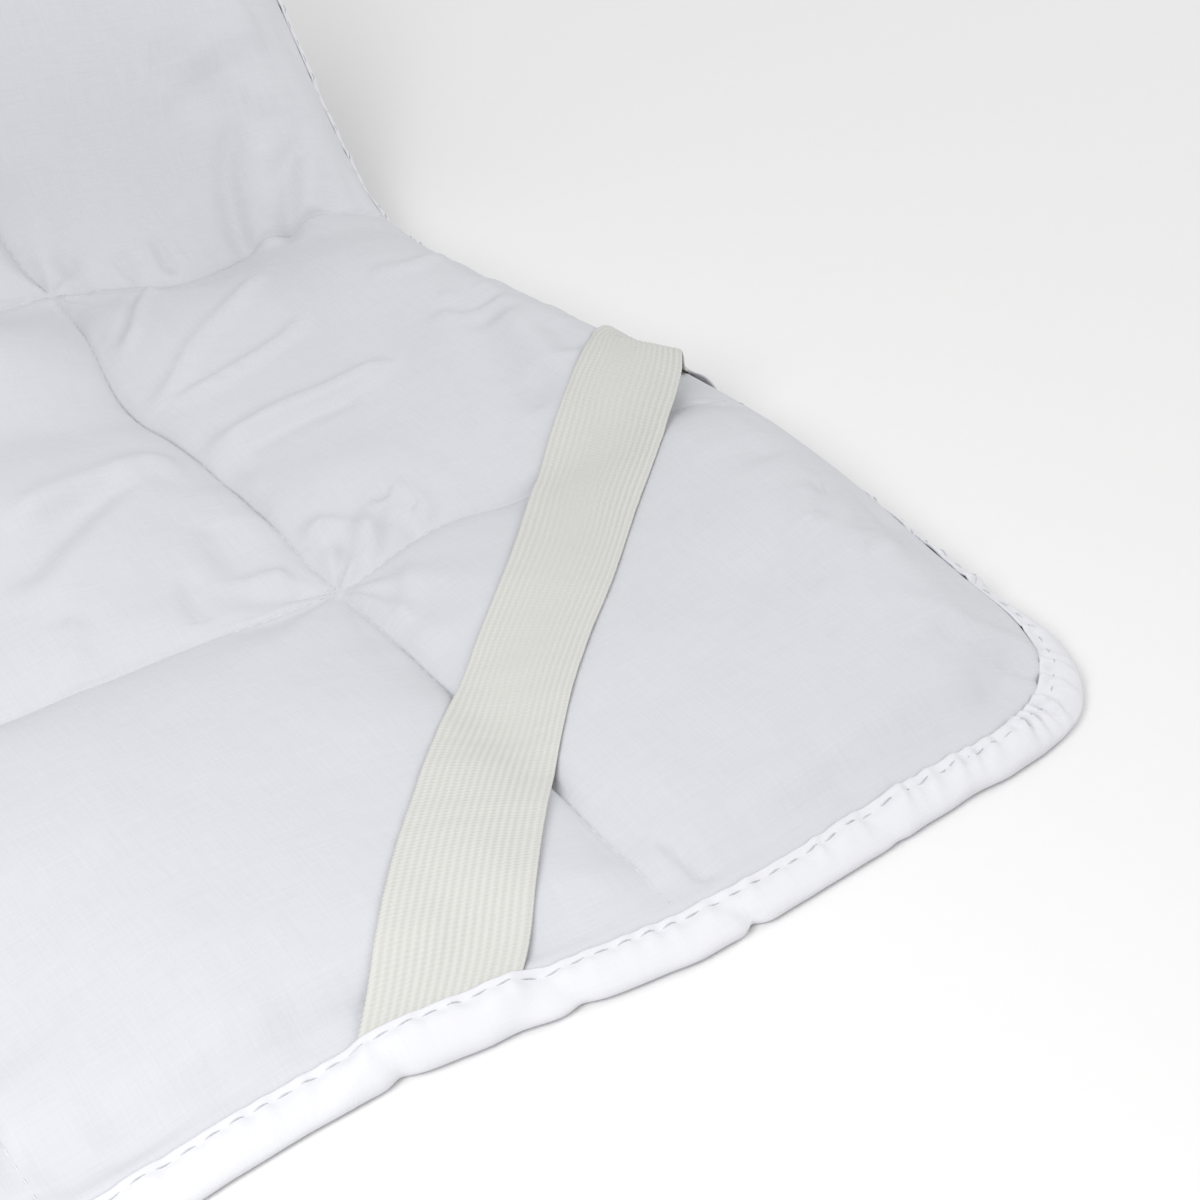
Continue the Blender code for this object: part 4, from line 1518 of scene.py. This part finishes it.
@dataclass(frozen=True)
class Studio:
    """Pale floor, soft light and the camera."""

    floor_half: float = 14.0
    floor_drop: float = 0.0002
    eye: tuple[float, float, float] = (0.1046, -1.2473, 0.3461)
    heading: tuple[float, float] = (0.5763, 0.8173)
    pitch_deg: float = 36.29
    lens_mm: float = 78.0
    sensor_mm: float = 36.0
    sky: float = 0.65
    lights: tuple[Light, ...] = (
        Light("key", (-0.10, -1.12, 0.45), (0.14, -0.95, 0.0), 0.30, 2.55),
        Light("right", (2.2, -0.8, 1.3), (1.20, -0.40, 0.0), 1.2, 15.0),
    )

    def build_floor(self, finish: bpy.types.Material) -> bpy.types.Object:
        """Builds the floor."""
        half, low = self.floor_half, -self.floor_drop
        mesh = bpy.data.meshes.new("floor")
        corners = [(-half, -half, low), (half, -half, low), (half, half, low), (-half, half, low)]
        mesh.from_pydata(corners, [], [(0, 1, 2, 3)])
        mesh.materials.append(finish)
        floor = bpy.data.objects.new("floor", mesh)
        bpy.context.scene.collection.objects.link(floor)
        return floor

    def build_lights(self) -> None:
        """Builds the lights and the even light of the surroundings."""
        for light in self.lights:
            data = bpy.data.lights.new(light.name, "AREA")
            data.size = light.size
            data.energy = light.watts
            lamp = bpy.data.objects.new(light.name, data)
            lamp.location = light.place
            aim = Vector(light.target) - Vector(light.place)
            lamp.rotation_euler = aim.to_track_quat("-Z", "Y").to_euler()
            bpy.context.scene.collection.objects.link(lamp)
        world = bpy.data.worlds.new("soft light")
        world.use_nodes = True
        sky = world.node_tree.nodes["Background"]
        sky.inputs["Color"].default_value = (1.0, 1.0, 1.0, 1.0)
        sky.inputs["Strength"].default_value = self.sky
        bpy.context.scene.world = world

    def build_camera(self) -> bpy.types.Object:
        """Builds the camera at the photograph's place and angle."""
        data = bpy.data.cameras.new("camera")
        data.lens = self.lens_mm
        data.sensor_width = self.sensor_mm
        data.clip_start = 0.01
        data.clip_end = 60.0
        camera = bpy.data.objects.new("camera", data)
        camera.location = self.eye
        pitch = math.radians(self.pitch_deg)
        flat = math.cos(pitch)
        forward = Vector((self.heading[0] * flat, self.heading[1] * flat, -math.sin(pitch)))
        camera.rotation_euler = forward.to_track_quat("-Z", "Y").to_euler()
        bpy.context.scene.collection.objects.link(camera)
        bpy.context.scene.camera = camera
        return camera


def main() -> None:
    """Builds the topper and its studio."""
    logging.basicConfig(level=logging.INFO, format="%(name)s: %(message)s")
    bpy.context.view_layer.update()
    studio = Studio()
    studio.build_camera()
    studio.build_lights()
    studio.build_floor(FloorFinish("pale_floor").material())
    bpy.context.scene.view_settings.view_transform = "Standard"
    cotton = CottonFinish("quilted_cotton").material()
    # Painted light: the binding's cotton is coloured lighter than the pad's same white cotton, standing in
    # for the extra light that its rounded edge catches.
    strip = CottonFinish("binding_cotton", (0.712, 0.714, 0.750), (0.772, 0.774, 0.810)).material()
    # Painted shade: the binding's stitches keep the grey default thread colours, which stand for the shade
    # along the stitch line.
    thread = ThreadFinish("sewing_thread_painted_shade").material()
    pale_thread = ThreadFinish("quilting_thread", (0.66, 0.67, 0.70), (0.80, 0.81, 0.84)).material()
    elastic = ElasticFinish("ribbed_elastic").material()
    quilt = QuiltedPad()
    pad = quilt.build(cotton)
    Binding().build(strip)
    stitching = Stitching()
    stitching.build_seams(pale_thread)
    stitching.build_edge(thread)
    for corner in Corner:
        CornerBand(corner).build(elastic, quilt, pad)
    log.info("topper finished")


if __name__ == "__main__":
    main()
